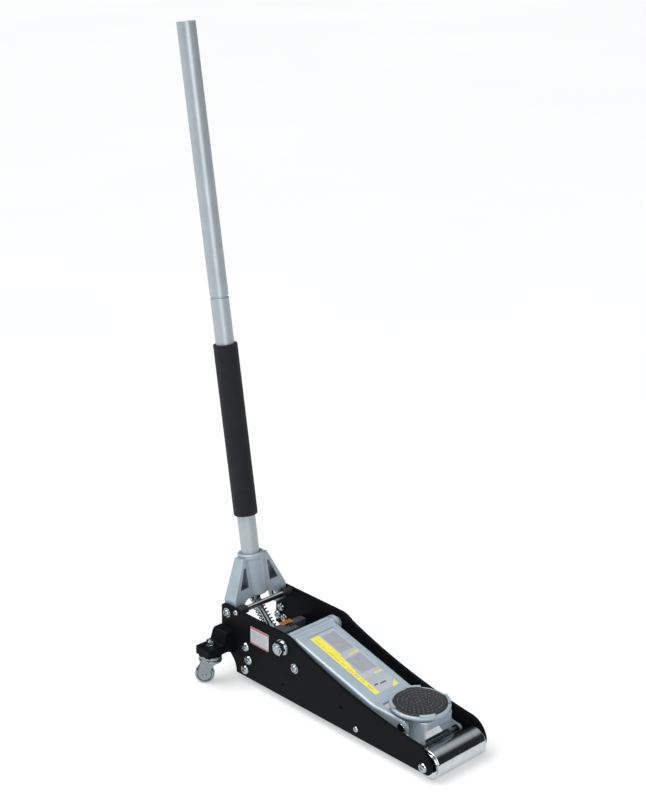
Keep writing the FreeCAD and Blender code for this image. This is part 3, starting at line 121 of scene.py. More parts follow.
# ---------------------------------------------------------------- node material helpers
class Finish:
    """A node material for one finish, built up by small calls."""

    def __init__(self, name, roughness, metallic=0.0):
        self.material = bpy.data.materials.get(name)
        if self.material is None:
            self.material = bpy.data.materials.new(name)
        self.material.use_nodes = True
        self.nodes = self.material.node_tree.nodes
        self.links = self.material.node_tree.links
        self.nodes.clear()
        self.shader = self.nodes.new("ShaderNodeBsdfPrincipled")
        self.shader.inputs["Roughness"].default_value = roughness
        self.shader.inputs["Metallic"].default_value = metallic
        output = self.nodes.new("ShaderNodeOutputMaterial")
        self.links.new(self.shader.outputs["BSDF"], output.inputs["Surface"])
        self.coords = self.nodes.new("ShaderNodeTexCoord").outputs["Object"]

    def set(self, socket, value):
        """Give a shader socket a constant."""
        self.shader.inputs[socket].default_value = value
        return self

    def link(self, output, socket):
        """Wire an output to a socket."""
        self.links.new(output, socket)
        return output

    def mapped(self, scale=(1, 1, 1), turn=(0, 0, 0)):
        """Object coordinates, turned and stretched."""
        node = self.nodes.new("ShaderNodeMapping")
        node.vector_type = "POINT"
        self.link(self.coords, node.inputs["Vector"])
        node.inputs["Scale"].default_value = scale
        node.inputs["Rotation"].default_value = turn
        return node.outputs["Vector"]

    def noise(self, size, detail=3.0, roughness=0.55, vector=None):
        """Noise whose grains are about size metres."""
        node = self.nodes.new("ShaderNodeTexNoise")
        self.link(vector or self.coords, node.inputs["Vector"])
        node.inputs["Scale"].default_value = 1 / size
        node.inputs["Detail"].default_value = detail
        node.inputs["Roughness"].default_value = roughness
        return node.outputs["Fac"]

    def cells(self, size, output="Distance"):
        """Cells about size metres across."""
        node = self.nodes.new("ShaderNodeTexVoronoi")
        self.link(self.coords, node.inputs["Vector"])
        node.inputs["Scale"].default_value = 1 / size
        return node.outputs[output]

    def span(self, value, low, high, to_low=0.0, to_high=1.0):
        """Value stretched so that low..high becomes to_low..to_high, and held inside it."""
        node = self.nodes.new("ShaderNodeMapRange")
        node.inputs["From Min"].default_value = low
        node.inputs["From Max"].default_value = high
        node.inputs["To Min"].default_value = to_low
        node.inputs["To Max"].default_value = to_high
        self.link(value, node.inputs["Value"])
        return node.outputs["Result"]

    def math(self, kind, first, second):
        """Arithmetic on two numbers or outputs."""
        node = self.nodes.new("ShaderNodeMath")
        node.operation = kind
        for socket, value in zip(node.inputs, (first, second)):
            if isinstance(value, (int, float)):
                socket.default_value = value
            else:
                self.link(value, socket)
        return node.outputs["Value"]

    def mix(self, share, first, second):
        """Colour mix; first and second are colours or outputs."""
        node = self.nodes.new("ShaderNodeMix")
        node.data_type = "RGBA"
        self.link(share, node.inputs[0])
        for socket, value in ((node.inputs[6], first), (node.inputs[7], second)):
            if isinstance(value, tuple):
                socket.default_value = (*value, 1.0)
            else:
                self.link(value, socket)
        return node.outputs[2]

    def edges(self, radius, low=0.02, high=0.22):
        """1 on edges sharper than radius, 0 on flats."""
        bevel = self.nodes.new("ShaderNodeBevel")
        bevel.samples = 4
        bevel.inputs["Radius"].default_value = radius
        geometry = self.nodes.new("ShaderNodeNewGeometry")
        dot = self.nodes.new("ShaderNodeVectorMath")
        dot.operation = "DOT_PRODUCT"
        self.link(bevel.outputs["Normal"], dot.inputs[0])
        self.link(geometry.outputs["Normal"], dot.inputs[1])
        turned = self.math("SUBTRACT", 1.0, dot.outputs["Value"])
        return self.span(turned, low, high)

    def hollow_shade(self, reach, low=0.25, high=0.85):
        """Mask for painted shade: 0 deep in a hollow narrower than reach, 1 in the open."""
        node = self.nodes.new("ShaderNodeAmbientOcclusion")
        node.samples = 4
        node.inputs["Distance"].default_value = reach
        return self.span(node.outputs["AO"], low, high)

    def height(self):
        """Height above the floor, in metres."""
        node = self.nodes.new("ShaderNodeSeparateXYZ")
        self.link(self.coords, node.inputs["Vector"])
        return node.outputs["Z"]

    def colour(self, value):
        """Wire the base colour."""
        self.link(value, self.shader.inputs["Base Color"])
        return self

    def rough(self, value):
        """Wire the roughness."""
        self.link(value, self.shader.inputs["Roughness"])
        return self

    def bump(self, height, distance, strength=1.0, soften=0.0):
        """Bump of a height field, over edges that are softened by a bevel radius."""
        node = self.nodes.new("ShaderNodeBump")
        node.inputs["Distance"].default_value = distance
        node.inputs["Strength"].default_value = strength
        self.link(height, node.inputs["Height"])
        if soften:
            bevel = self.nodes.new("ShaderNodeBevel")
            bevel.samples = 4
            bevel.inputs["Radius"].default_value = soften
            self.link(bevel.outputs["Normal"], node.inputs["Normal"])
        self.link(node.outputs["Normal"], self.shader.inputs["Normal"])
        return self


def shade(colour, factor):
    """A lighter or darker version of a colour."""
    return tuple(min(1.0, channel * factor) for channel in colour)


def silver_paint():
    """Satin silver-grey paint with fine flake, edges with a little wear, and painted shade deep in each hollow."""
    paint = bpy.context.scene.jack_paint
    base = tuple(paint.silver)
    f = Finish("silver paint", roughness=0.36, metallic=0.22)
    drift = f.span(f.noise(45 * MM, 2), 0.35, 0.65)
    body = f.mix(drift, shade(base, 0.94), shade(base, 1.05))
    flake = f.span(f.cells(0.45 * MM, output="Color"), 0.0, 1.0, 0.0, 0.16)
    body = f.mix(flake, body, shade(base, 1.4))
    edge_chips_and_highlight = f.math("MULTIPLY", f.edges(0.9 * MM, 0.08, 0.35), f.span(f.noise(3.5 * MM, 4, 0.65), 0.45, 0.75))
    worn_and_lit_edges = f.math("MULTIPLY", edge_chips_and_highlight, paint.wear)
    # Painted shade: darker paint deep in each hollow, where shade falls.
    body = f.mix(f.hollow_shade(22 * MM, 0.1, 0.6), shade(base, 0.4), body)
    f.colour(f.mix(worn_and_lit_edges, body, (0.62, 0.66, 0.69)))
    f.rough(f.span(f.noise(12 * MM, 4), 0.3, 0.7, 0.31, 0.43))
    f.bump(f.noise(1.6 * MM, 3), 0.05 * MM, 0.55, soften=0.7 * MM)
    return f.set("Coat Weight", 0.25).set("Coat Roughness", 0.22).material


def cast_silver():
    """The same paint over a sand-cast surface, with painted shade in its pockets and pale edges that are part
    wear, part painted highlight.
    """
    paint = bpy.context.scene.jack_paint
    base = tuple(paint.silver)
    f = Finish("cast silver paint", roughness=0.4, metallic=0.18)
    drift = f.span(f.noise(30 * MM, 3), 0.35, 0.65)
    body = f.mix(drift, shade(base, 0.92), shade(base, 1.06))
    # Pale edges: part paint wear, part painted highlight; the wear is doubled here for the highlight.
    edge_chips_and_highlight = f.math("MULTIPLY", f.edges(1.2 * MM, 0.08, 0.3), f.span(f.noise(4 * MM, 4, 0.65), 0.4, 0.7))
    worn_and_lit_edges = f.math("MULTIPLY", edge_chips_and_highlight, min(1.0, 2 * paint.wear))
    # Painted shade: much darker paint deep in the pockets and every hollow.
    body = f.mix(f.hollow_shade(30 * MM), shade(base, 0.16), body)
    f.colour(f.mix(worn_and_lit_edges, body, (0.80, 0.84, 0.87)))
    f.rough(f.span(f.noise(9 * MM, 4), 0.3, 0.7, 0.34, 0.5))
    grain = f.math("ADD", f.noise(1.1 * MM, 4, 0.7), f.math("MULTIPLY", f.noise(6 * MM, 2), 1.6))
    f.bump(grain, 0.12 * MM, 0.5, soften=1.0 * MM)
    return f.set("Coat Weight", 0.2).set("Coat Roughness", 0.28).material


def black_coat():
    """Satin black powder coat: fine orange peel, a little dust, and paler edges that are part wear, part painted
    highlight.
    """
    paint = bpy.context.scene.jack_paint
    base = tuple(paint.black)
    f = Finish("black powder coat", 0.4)
    dust = f.span(f.noise(60 * MM, 5, 0.6), 0.45, 0.8, 0.0, 0.32)
    body = f.mix(dust, base, shade(base, 2.1))
    # Paler edges: part wear, part painted highlight.
    edge = f.edges(0.9 * MM, 0.03, 0.3)
    worn_and_lit_edges = f.math("MULTIPLY", edge, f.span(f.noise(5 * MM, 4, 0.6), 0.3, 0.7, 0.5, 1.0))
    f.colour(f.mix(f.math("MULTIPLY", worn_and_lit_edges, 0.8), body, (0.05, 0.055, 0.062)))
    f.rough(f.span(f.noise(18 * MM, 4), 0.3, 0.7, 0.34, 0.48))
    f.bump(f.noise(0.9 * MM, 2, 0.5), 0.05 * MM, 0.5, soften=0.8 * MM)
    return f.set("Specular IOR Level", 0.04).material


def zinc(name="zinc plate", base=(0.38, 0.425, 0.455), grain=14 * MM):
    """Bright zinc plate with a faint cloudy grain."""
    f = Finish(name, 0.3, 1.0)
    cloud = f.span(f.noise(grain, 4, 0.6), 0.3, 0.7)
    body = f.mix(cloud, shade(base, 0.86), shade(base, 1.1))
    edge = f.edges(0.5 * MM, 0.05, 0.35)
    f.colour(f.mix(f.math("MULTIPLY", edge, 0.35), body, shade(base, 1.4)))
    f.rough(f.span(f.noise(7 * MM, 3), 0.3, 0.7, 0.17, 0.27))
    f.bump(f.noise(0.5 * MM, 3), 0.02 * MM, 0.5, soften=0.4 * MM)
    return f.material


def chrome():
    """Polished plate with faint rolling scuffs."""
    f = Finish("chrome plate", 0.12, 1.0)
    scuff = f.noise(0.6 * MM, 5, 0.7, f.mapped(scale=(1.0, 0.05, 1.0)))
    wide = f.noise(16 * MM, 4, 0.6)
    f.colour(f.mix(f.span(wide, 0.3, 0.7), (0.50, 0.53, 0.55), (0.59, 0.62, 0.64)))
    f.rough(f.math("ADD", f.span(scuff, 0.45, 0.75, 0.07, 0.2), f.span(wide, 0.4, 0.7, 0.0, 0.06)))
    f.bump(scuff, 0.01 * MM, 0.35, soften=0.5 * MM)
    return f.material


def drawn_tube():
    """Silver tube with faint draw lines along its length."""
    f = Finish("drawn tube", 0.38, 0.4)
    turn = (0, HANDLE_LEAN, 0)
    lines = f.noise(0.35 * MM, 3, 0.6, f.mapped(scale=(1, 1, 0.02), turn=turn))
    cloud = f.span(f.noise(40 * MM, 3), 0.3, 0.7)
    body = f.mix(cloud, (0.37, 0.42, 0.455), (0.42, 0.47, 0.505))
    f.colour(f.mix(f.span(lines, 0.45, 0.75, 0.0, 0.25), body, (0.56, 0.61, 0.64)))
    f.rough(f.span(lines, 0.3, 0.7, 0.32, 0.46))
    f.bump(lines, 0.01 * MM, 0.5, soften=0.4 * MM)
    return f.material


def grip_foam():
    """Matte closed-cell foam with small pits."""
    f = Finish("grip foam", 0.85)
    cells = f.cells(0.55 * MM)
    wide = f.span(f.noise(22 * MM, 4), 0.35, 0.7)
    body = f.mix(wide, (0.0075, 0.0095, 0.0125), (0.012, 0.0145, 0.018))
    f.colour(f.mix(f.span(cells, 0.2, 0.75, 0.0, 0.35), body, (0.004, 0.005, 0.006)))
    f.rough(f.span(cells, 0.1, 0.8, 0.7, 0.92))
    pits = f.math("ADD", f.math("MULTIPLY", cells, -1.0), f.noise(3 * MM, 3))
    f.bump(pits, 0.12 * MM, 0.6, soften=0.8 * MM)
    return f.set("Sheen Weight", 0.05).set("Specular IOR Level", 0.3).material


def rubber(name="saddle rubber", base=(0.042, 0.047, 0.05), relief=None):
    """Moulded rubber, with a patchy painted highlight on its high spots. relief is the low and high level of its
    knobs.
    """
    f = Finish(name, 0.62)
    wide = f.span(f.noise(12 * MM, 4), 0.35, 0.7)
    body = f.mix(wide, shade(base, 0.8), shade(base, 1.15))
    # Painted highlight: the tops of the knobs are lighter, in patches.
    if relief:
        patchy = f.span(f.noise(5 * MM, 3), 0.3, 0.65, 0.35, 1.0)
        top = f.math("MULTIPLY", f.span(f.height(), *relief), patchy)
        body = f.mix(top, body, shade(base, 4.2))
    rubbed = f.math("MULTIPLY", f.edges(0.7 * MM, 0.05, 0.4), f.span(f.noise(2.5 * MM, 4), 0.35, 0.65))
    f.colour(f.mix(f.math("MULTIPLY", rubbed, 0.55), body, (0.14, 0.15, 0.155)))
    f.rough(f.span(f.noise(4 * MM, 4), 0.3, 0.7, 0.5, 0.72))
    f.bump(f.noise(0.7 * MM, 3), 0.06 * MM, 0.6, soften=0.5 * MM)
    return f.material


def cast_iron():
    """Dark grey painted casting, rough from the mould."""
    f = Finish("painted iron", 0.48, 0.1)
    wide = f.span(f.noise(18 * MM, 4, 0.6), 0.35, 0.7)
    body = f.mix(wide, (0.050, 0.055, 0.060), (0.070, 0.076, 0.083))
    edge = f.math("MULTIPLY", f.edges(1.0 * MM, 0.05, 0.3), f.span(f.noise(4 * MM, 4), 0.35, 0.65))
    f.colour(f.mix(f.math("MULTIPLY", edge, 0.6), body, (0.16, 0.17, 0.18)))
    f.rough(f.span(f.noise(6 * MM, 4), 0.3, 0.7, 0.4, 0.6))
    f.bump(f.math("ADD", f.noise(0.9 * MM, 4, 0.7), f.noise(4 * MM, 2)), 0.15 * MM, 0.6, soften=0.9 * MM)
    return f.material


def black_steel():
    """Black oxide spring wire and small brackets."""
    f = Finish("black oxide", 0.34, 0.6)
    wide = f.span(f.noise(7 * MM, 4), 0.35, 0.7)
    body = f.mix(wide, (0.010, 0.011, 0.013), (0.022, 0.023, 0.026))
    f.colour(f.mix(f.math("MULTIPLY", f.edges(0.4 * MM, 0.05, 0.4), 0.4), body, (0.10, 0.105, 0.11)))
    f.rough(f.span(f.noise(3 * MM, 4), 0.3, 0.7, 0.26, 0.44))
    f.bump(f.noise(0.5 * MM, 3), 0.02 * MM, 0.5)
    return f.material


def printed(name, base):
    """Ink on a satin vinyl label, slightly uneven."""
    f = Finish(name, 0.42)
    wide = f.span(f.noise(9 * MM, 4), 0.3, 0.7)
    f.colour(f.mix(wide, shade(base, 0.93), shade(base, 1.04)))
    f.rough(f.span(f.noise(4 * MM, 4), 0.3, 0.7, 0.34, 0.5))
    f.bump(f.noise(1.2 * MM, 3), 0.02 * MM, 0.4)
    return f.set("Coat Weight", 0.15).material


def dress(names, material):
    """Give CAD nodes a finish, on the record's slot they already have."""
    for name in names:
        node = frame["nodes"][name]
        node.data.materials.clear()
        node.data.materials.append(material)


def in_slot(slot, leave=()):
    """Names of the CAD nodes in a material slot of the record, but for those in leave."""
    return [
        part["node"] for part in frame["record"]["subparts"]
        if part["material_slot"] == slot and part["node"] not in leave
    ]


# ---------------------------------------------------------------- modelling helpers
def deselect():
    """Object mode, nothing selected."""
    if bpy.context.object and bpy.context.object.mode != "OBJECT":
        bpy.ops.object.mode_set(mode="OBJECT")
    bpy.ops.object.select_all(action="DESELECT")


def only(*objects):
    """Select these objects alone, the first one active."""
    deselect()
    for item in objects:
        item.select_set(True)
    bpy.context.view_layer.objects.active = objects[0]


def settle(piece):
    """Put the piece's place into its mesh, so its object sits unturned at the origin."""
    only(piece)
    bpy.ops.object.transform_apply(location=True, rotation=True, scale=True)
    return piece


def join(pieces, name):
    """Join pieces into one object of this name."""
    only(*pieces)
    if len(pieces) > 1:
        bpy.ops.object.join()
    piece = bpy.context.object
    piece.name = name
    piece.data.name = name
    return piece


def copy_to(piece, place):
    """A copy with its own mesh, moved by place."""
    twin = piece.copy()
    twin.data = piece.data.copy()
    bpy.context.scene.collection.objects.link(twin)
    twin.location = place
    return twin


def thicken(patch, thickness, material, corner=0.0):
    """Round the corners of a flat patch, raise it and give it its ink; sizes in millimetres."""
    bpy.ops.object.mode_set(mode="EDIT")
    bpy.ops.mesh.select_all(action="SELECT")
    if corner:
        bpy.ops.mesh.bevel(offset=corner * MM, segments=4, affect="VERTICES")
        bpy.ops.mesh.select_all(action="SELECT")
    bpy.ops.mesh.extrude_region_move(TRANSFORM_OT_translate={"value": (0, 0, thickness * MM)})
    bpy.ops.mesh.select_all(action="SELECT")
    bpy.ops.mesh.normals_make_consistent(inside=False)
    bpy.ops.object.mode_set(mode="OBJECT")
    patch.data.materials.append(material)
    return patch


def slip(name, low, high, lift, thickness, material, corner=0.0):
    """A thin printed patch from low to high in its own plane, lift above it; sizes in millimetres."""
    deselect()
    bpy.ops.mesh.primitive_plane_add(size=1)
    patch = bpy.context.object
    patch.name = name
    patch.scale = ((high[0] - low[0]) * MM, (high[1] - low[1]) * MM, 1)
    patch.location = ((low[0] + high[0]) / 2 * MM, (low[1] + high[1]) / 2 * MM, lift * MM)
    return thicken(settle(patch), thickness, material, corner)


def corner_flash(x, y, size, lift, thickness, material):
    """Triangular patch that fills the corner at x, y; sizes in millimetres."""
    deselect()
    bpy.ops.mesh.primitive_circle_add(vertices=3, radius=1, fill_type="NGON")
    flash = bpy.context.object
    corners = ((x, y, lift), (x - size, y, lift), (x, y - size * 1.25, lift))
    for vertex, corner in zip(flash.data.vertices, corners):
        vertex.co = Vector(corner) * MM
    return thicken(flash, thickness, material)


def lay(pieces, name, matrix, body):
    """Join patches drawn in a plane and lay them in place on a body."""
    label = join(pieces, name)
    label.matrix_world = matrix
    settle(label)
    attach(label, body)
    return label


# ---------------------------------------------------------------- operators
class JACK_OT_frame(bpy.types.Operator):
    """Powder coat and plate the frame, its bolts and its roller"""
    bl_idname = "jack.frame_finish"
    bl_label = "Frame finishes"

    def execute(self, context):
        dress(in_slot("frame_black"), black_coat())
        dress(in_slot("zinc", leave=("cradle_shaft",)), zinc())
        dress(["cradle_shaft"], zinc("turned steel", (0.17, 0.185, 0.20), 9 * MM))
        dress(in_slot("chrome"), chrome())
        dress(in_slot("rubber"), rubber("sleeve rubber", (0.012, 0.0125, 0.013)))
        return {"FINISHED"}


class JACK_OT_linkage(bpy.types.Operator):
    """Paint the lift arm, control links, cradle and saddle dish"""
    bl_idname = "jack.linkage_finish"
    bl_label = "Linkage finishes"

    def execute(self, context):
        dress(in_slot("silver_paint", leave=("handle_socket",)), silver_paint())
        dress(in_slot("saddle_steel") + ["handle_socket"], cast_silver())
        return {"FINISHED"}


class JACK_OT_unit(bpy.types.Operator):
    """Paint the hydraulic unit and blacken its springs"""
    bl_idname = "jack.unit_finish"
    bl_label = "Hydraulic unit finishes"

    def execute(self, context):
        dress(in_slot("unit_iron"), cast_iron())
        dress(in_slot("black_steel"), black_steel())
        return {"FINISHED"}


class JACK_OT_handle(bpy.types.Operator):
    """Finish the handle tubes and the foam grip"""
    bl_idname = "jack.handle_finish"
    bl_label = "Handle finishes"

    def execute(self, context):
        dress(in_slot("tube"), drawn_tube())
        dress(in_slot("grip_foam"), grip_foam())
        return {"FINISHED"}


class JACK_OT_casters(bpy.types.Operator):
    """Zinc plate the casters"""
    bl_idname = "jack.caster_finish"
    bl_label = "Caster finishes"

    def execute(self, context):
        dress(in_slot("caster_steel"), zinc("caster zinc", (0.25, 0.29, 0.305), 20 * MM))
        return {"FINISHED"}


KNOB_SINK = 0.4 * MM              # how far a knob reaches into the pad
KNOB_SIDES = 12
KNOB_TAPER = 0.6                  # top radius of a knob, against its foot
RING_TURN = 0.5                   # each ring starts this much further round, in radians
KNOB_ROUND = 0.55 * MM
KNOB_CROWD = 1.04                 # spacing round a ring, against the spacing of the rings
PAD_MARGIN = 3.2 * MM             # from the pad's rim to the outermost ring of knobs
PAD_SIDES = 96
PAD_RIM_IN = 1.1 * MM
PAD_RIM_WIDTH = 1.6 * MM
PAD_RIM_HEIGHT = 0.5 * MM


class JACK_OT_pad(bpy.types.Operator):
    """Mould the knobbed rubber pad that lies in the saddle"""
    bl_idname = "jack.saddle_pad"
    bl_label = "Saddle pad"

    def execute(self, context):
        sizes = context.scene.jack_pad
        centre = (PAD_LOW + PAD_HIGH) / 2
        radius = (PAD_HIGH.x - PAD_LOW.x) / 2
        face = PAD_HIGH.z - sizes.knob_height
        disc = self.disc(centre, radius, face)
        knob = self.knob(sizes)
        knobs = []
        pitch = sizes.knob_pitch
        rings = int((radius - PAD_MARGIN) / pitch)
        level = PAD_HIGH.z - (sizes.knob_height + KNOB_SINK) / 2
        for ring in range(rings + 1):
            reach = ring * pitch
            count = max(1, round(2 * math.pi * reach / (pitch * KNOB_CROWD)))
            for k in range(count):
                angle = 2 * math.pi * k / count + RING_TURN * ring
                x = centre.x + reach * math.cos(angle)
                y = centre.y + reach * math.sin(angle)
                knobs.append(copy_to(knob, Vector((x, y, level))))
        bpy.data.objects.remove(knob)
        pad = join([disc] + knobs, "moulded_saddle_pad")
        settle(pad)
        bpy.ops.object.shade_smooth_by_angle(angle=math.radians(35))
        pad.data.materials.clear()
        # Knob tops above this level get the painted highlight.
        relief = (face + 0.5 * sizes.knob_height, PAD_HIGH.z)
        pad.data.materials.append(rubber(base=(0.022, 0.025, 0.028), relief=relief))
        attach(pad, "saddle")
        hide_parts("saddle_pad")
        return {"FINISHED"}

    @staticmethod
    def disc(centre, radius, face):
        """The pad's body, with a low rim round its top face."""
        deselect()
        bpy.ops.mesh.primitive_cylinder_add(
            vertices=PAD_SIDES, radius=radius, depth=face - PAD_LOW.z,
            location=(centre.x, centre.y, (face + PAD_LOW.z) / 2))
        disc = settle(bpy.context.object)
        bpy.ops.object.mode_set(mode="EDIT")
        bpy.ops.mesh.select_all(action="DESELECT")
        bpy.ops.object.mode_set(mode="OBJECT")
        for polygon in disc.data.polygons:
            polygon.select = polygon.normal.z > 0.9
        bpy.ops.object.mode_set(mode="EDIT")
        bpy.ops.mesh.select_mode(type="FACE")
        bpy.ops.mesh.inset(thickness=PAD_RIM_IN)
        bpy.ops.transform.translate(value=(0, 0, PAD_RIM_HEIGHT))
        bpy.ops.mesh.inset(thickness=PAD_RIM_WIDTH)
        bpy.ops.transform.translate(value=(0, 0, -PAD_RIM_HEIGHT))
        bpy.ops.object.mode_set(mode="OBJECT")
        return disc

    @staticmethod
    def knob(sizes):
        """One tapered knob with a rounded top, at the origin."""
        bpy.ops.object.select_all(action="DESELECT")
        bpy.ops.mesh.primitive_cone_add(
            vertices=KNOB_SIDES, radius1=sizes.knob_radius, radius2=sizes.knob_radius * KNOB_TAPER,
            depth=sizes.knob_height + KNOB_SINK, location=(0, 0, 0))
        knob = bpy.context.object
        bpy.ops.object.mode_set(mode="EDIT")
        bpy.ops.mesh.select_all(action="DESELECT")
        bpy.ops.object.mode_set(mode="OBJECT")
        for edge in knob.data.edges:
            edge.select = all(knob.data.vertices[i].co.z > 0 for i in edge.vertices)
        bpy.ops.object.mode_set(mode="EDIT")
        bpy.ops.mesh.select_mode(type="EDGE")
        bpy.ops.mesh.bevel(offset=KNOB_ROUND, segments=2)
        bpy.ops.object.mode_set(mode="OBJECT")
        return knob


# Label sizes, in millimetres. The arm label is drawn along the arm from the rear (x) and across it (y).
SHEET = 0.16                      # thickness of a label
INK = 0.05
PANEL_REAR = (-10, 0, 16.5)       # rear end of the arm's flat top, from the lift pivot
PANEL_FRONT = (-68, 0, 13.5)      # front end of it, from the cradle pin
PANEL_FLOOR = -0.8                # floor of the arm's shallow panel
ARM_LABEL_START = 33
ARM_LABEL_FRONT_GAP = 14
ARM_LABEL_SIDES = (-24.5, 31.5)
BAND_WIDTH = 10.5
BAND_STEP = 9                     # how much wider the band is at its rear
BAND_INSET = 0.6


class JACK_OT_arm_label(bpy.types.Operator):
    """Lay the plain yellow and grey label in the arm's shallow panel"""
    bl_idname = "jack.arm_label"
    bl_label = "Arm label"

    def execute(self, context):
        rear = LIFT + Vector(PANEL_REAR) * MM
        bend = CRADLE + Vector(PANEL_FRONT) * MM
        slope = math.atan2(rear.z - bend.z, bend.x - rear.x)
        length = math.hypot(bend.x - rear.x, rear.z - bend.z) / MM
        yellow = printed("label yellow", tuple(context.scene.jack_paint.yellow))
        pale = printed("label grey", (0.40, 0.43, 0.48))
        text_grey = printed("label tint", (0.30, 0.32, 0.36))
        dark = printed("label dark", (0.10, 0.105, 0.12))
        ochre = printed("label ochre", (0.52, 0.45, 0.06))
        start, end = ARM_LABEL_START, length - ARM_LABEL_FRONT_GAP
        low, high = ARM_LABEL_SIDES
        size = end - start
        band = low + BAND_WIDTH
        wide_end = start + 0.36 * size
        top = PANEL_FLOOR + SHEET
        patches = []

        def put(name, x0, y0, x1, y1, lift, thickness, material, corner=0.0):
            patches.append(slip(name, (x0, y0), (x1, y1), lift, thickness, material, corner))

        def along(share):
            return start + share * size

        put("sheet", start, low, end, high, PANEL_FLOOR, SHEET, pale, 1.5)
        put("band", start + BAND_INSET, low + BAND_INSET, end - BAND_INSET, band, top, INK, yellow)
        put("band_wide", start + BAND_INSET, band, wide_end, band + BAND_STEP, top, INK, yellow)
        step = (end - wide_end) * 0.14
        for k in range(3):
            x = wide_end + k * step
            put("stair", x, band, x + step, band + 6.4 - 2.0 * k, top, INK, yellow)
        for first, last, foot in ((0.03, 0.33, 22), (0.43, 0.68, 18)):
            put("note", along(first), low + foot, along(last), high - 3, top, 0.04, text_grey, 0.5)
        for share, reach in ((0.385, 22), (0.735, 16)):
            x = along(share)
            put("bar", x, high - reach - 2, x + 3.2, high - 2, top, 0.06, yellow)
            put("bar_line", x + 1.1, high - reach + 1, x + 2.1, high - 5, top + 0.06, 0.02, ochre)
        for share in (0.78, 0.81, 0.84):
            put("rule", along(share), low + 14, along(share) + 0.9, high - 3, top, 0.03, text_grey)
        for share, foot, reach in ((0.875, 15, 9), (0.885, 27, 14)):
            x = along(share)
            put("mark", x, low + foot, x + 3.4, low + foot + reach, top, 0.03, dark, 0.8)
        for k in range(9):
            x = along(0.06 + 0.098 * k)
            dash = (0.07, 0.05, 0.08)[k % 3] * size
            put("dash", x, low + 4.4, x + dash, low + 6.6, top + INK, 0.02, ochre)
        patches.append(corner_flash(end - BAND_INSET, high - BAND_INSET, 11.5, top, INK, yellow))
        place = Matrix.Translation(rear) @ Matrix.Rotation(slope, 4, "Y")
        lay(patches, "arm_label", place, "arm")
        return {"FINISHED"}


LABEL_LIFT = 0.02                 # a label's glue, so that it doesn't lie in its plate
SIDE_LABEL_HALF = 23
SIDE_LABEL_FOOT, SIDE_LABEL_HEAD = -15.5, 16.8
STRIPE_MARGIN = 0.6
SIDE_LABEL_BACK, SIDE_LABEL_DOWN = 58, 8.5      # its centre, behind and under the lift pivot
UNIT_LABEL_PLACE = (50.5, 24)     # in front of the handle pivot, and to the left


class JACK_OT_side_labels(bpy.types.Operator):
    """Put a plain label on each side plate"""
    bl_idname = "jack.side_labels"
    bl_label = "Side labels"

    def execute(self, context):
        pale = printed("side label", (0.48, 0.50, 0.53))
        red = printed("side label red", (0.42, 0.085, 0.10))
        tint = printed("side label tint", (0.30, 0.315, 0.34))
        half, foot, head = SIDE_LABEL_HALF, SIDE_LABEL_FOOT, SIDE_LABEL_HEAD
        edge = half - STRIPE_MARGIN
        ink = LABEL_LIFT + SHEET
        for side, name in ((-1, "right"), (1, "left")):
            low, high = (Vector(corner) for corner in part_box("side_plate_" + name))
            face = low.y if side < 0 else high.y
            patches = [
                slip("sheet", (-half, foot), (half, head), LABEL_LIFT, SHEET, pale, 1.2),
                slip("head", (-edge, 12.6), (edge, head - STRIPE_MARGIN), ink, 0.04, red),
                slip("foot", (-edge, foot + STRIPE_MARGIN), (edge, -12.6), ink, 0.04, red),
            ]
            for k, reach in enumerate((20, 18, 20, 14, 19)):
                y = 6.8 - 4.0 * k
                patches.append(slip("line", (-20, y), (reach, y + 1.5), ink, 0.03, tint))
            stand = Matrix.Rotation(math.radians(90), 4, "X")
            if side > 0:
                stand = Matrix.Rotation(math.radians(180), 4, "Z") @ stand
            centre = Vector((LIFT.x - SIDE_LABEL_BACK * MM, face, LIFT.z - SIDE_LABEL_DOWN * MM))
            lay(patches, "side_label_" + name, Matrix.Translation(centre) @ stand, "chassis")
        return {"FINISHED"}


class JACK_OT_unit_label(bpy.types.Operator):
    """Put the small orange label on top of the hydraulic unit"""
    bl_idname = "jack.unit_label"
    bl_label = "Unit label"

    def execute(self, context):
        _, high = (Vector(corner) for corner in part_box("pump_block"))
        orange = printed("unit label", (0.52, 0.17, 0.035))
        line = printed("unit label line", (0.20, 0.07, 0.02))
        sheet = 0.15
        patches = [slip("sheet", (-5.5, -13), (5.5, 13), LABEL_LIFT, sheet, orange, 0.8)]
        for k in range(3):
            x = -3.4 + 2.6 * k
            patches.append(slip("line", (x, -10), (x + 0.8, 10), LABEL_LIFT + sheet, 0.02, line))
        ahead, left = UNIT_LABEL_PLACE
        place = Matrix.Translation(Vector((HANDLE.x + ahead * MM, left * MM, high.z)))
        lay(patches, "unit_label", place, "chassis")
        return {"FINISHED"}


# ---------------------------------------------------------------- the studio
FLOOR_SIZE = 30.0
FLOOR_GLOW = 0.42
SKY_COLOUR = (0.95, 0.975, 1.0, 1)
SKY_BAND = {"From Min": 0.58, "From Max": 0.88, "To Min": 0.03, "To Max": 0.95}
SUN_STRENGTH = 2.35
SUN_SPREAD = math.radians(50)
SUN_COLOUR = (1.0, 0.99, 0.975)
SUN_TURN = (math.radians(24), math.radians(-16), 0)
LAMPS = (  # name, place, size, power, colour
    ("key", (2.45, -1.7, 1.35), 1.9, 42, (0.99, 0.99, 1.0)),
    ("fill", (-1.5, -2.1, 1.8), 1.4, 6, (1.0, 0.985, 0.96)),
)
LAMP_AIM = Vector((0.1, 0, 0.25))
SENSOR_WIDTH = 36
LENS = 81.82
CLIP_END = 60


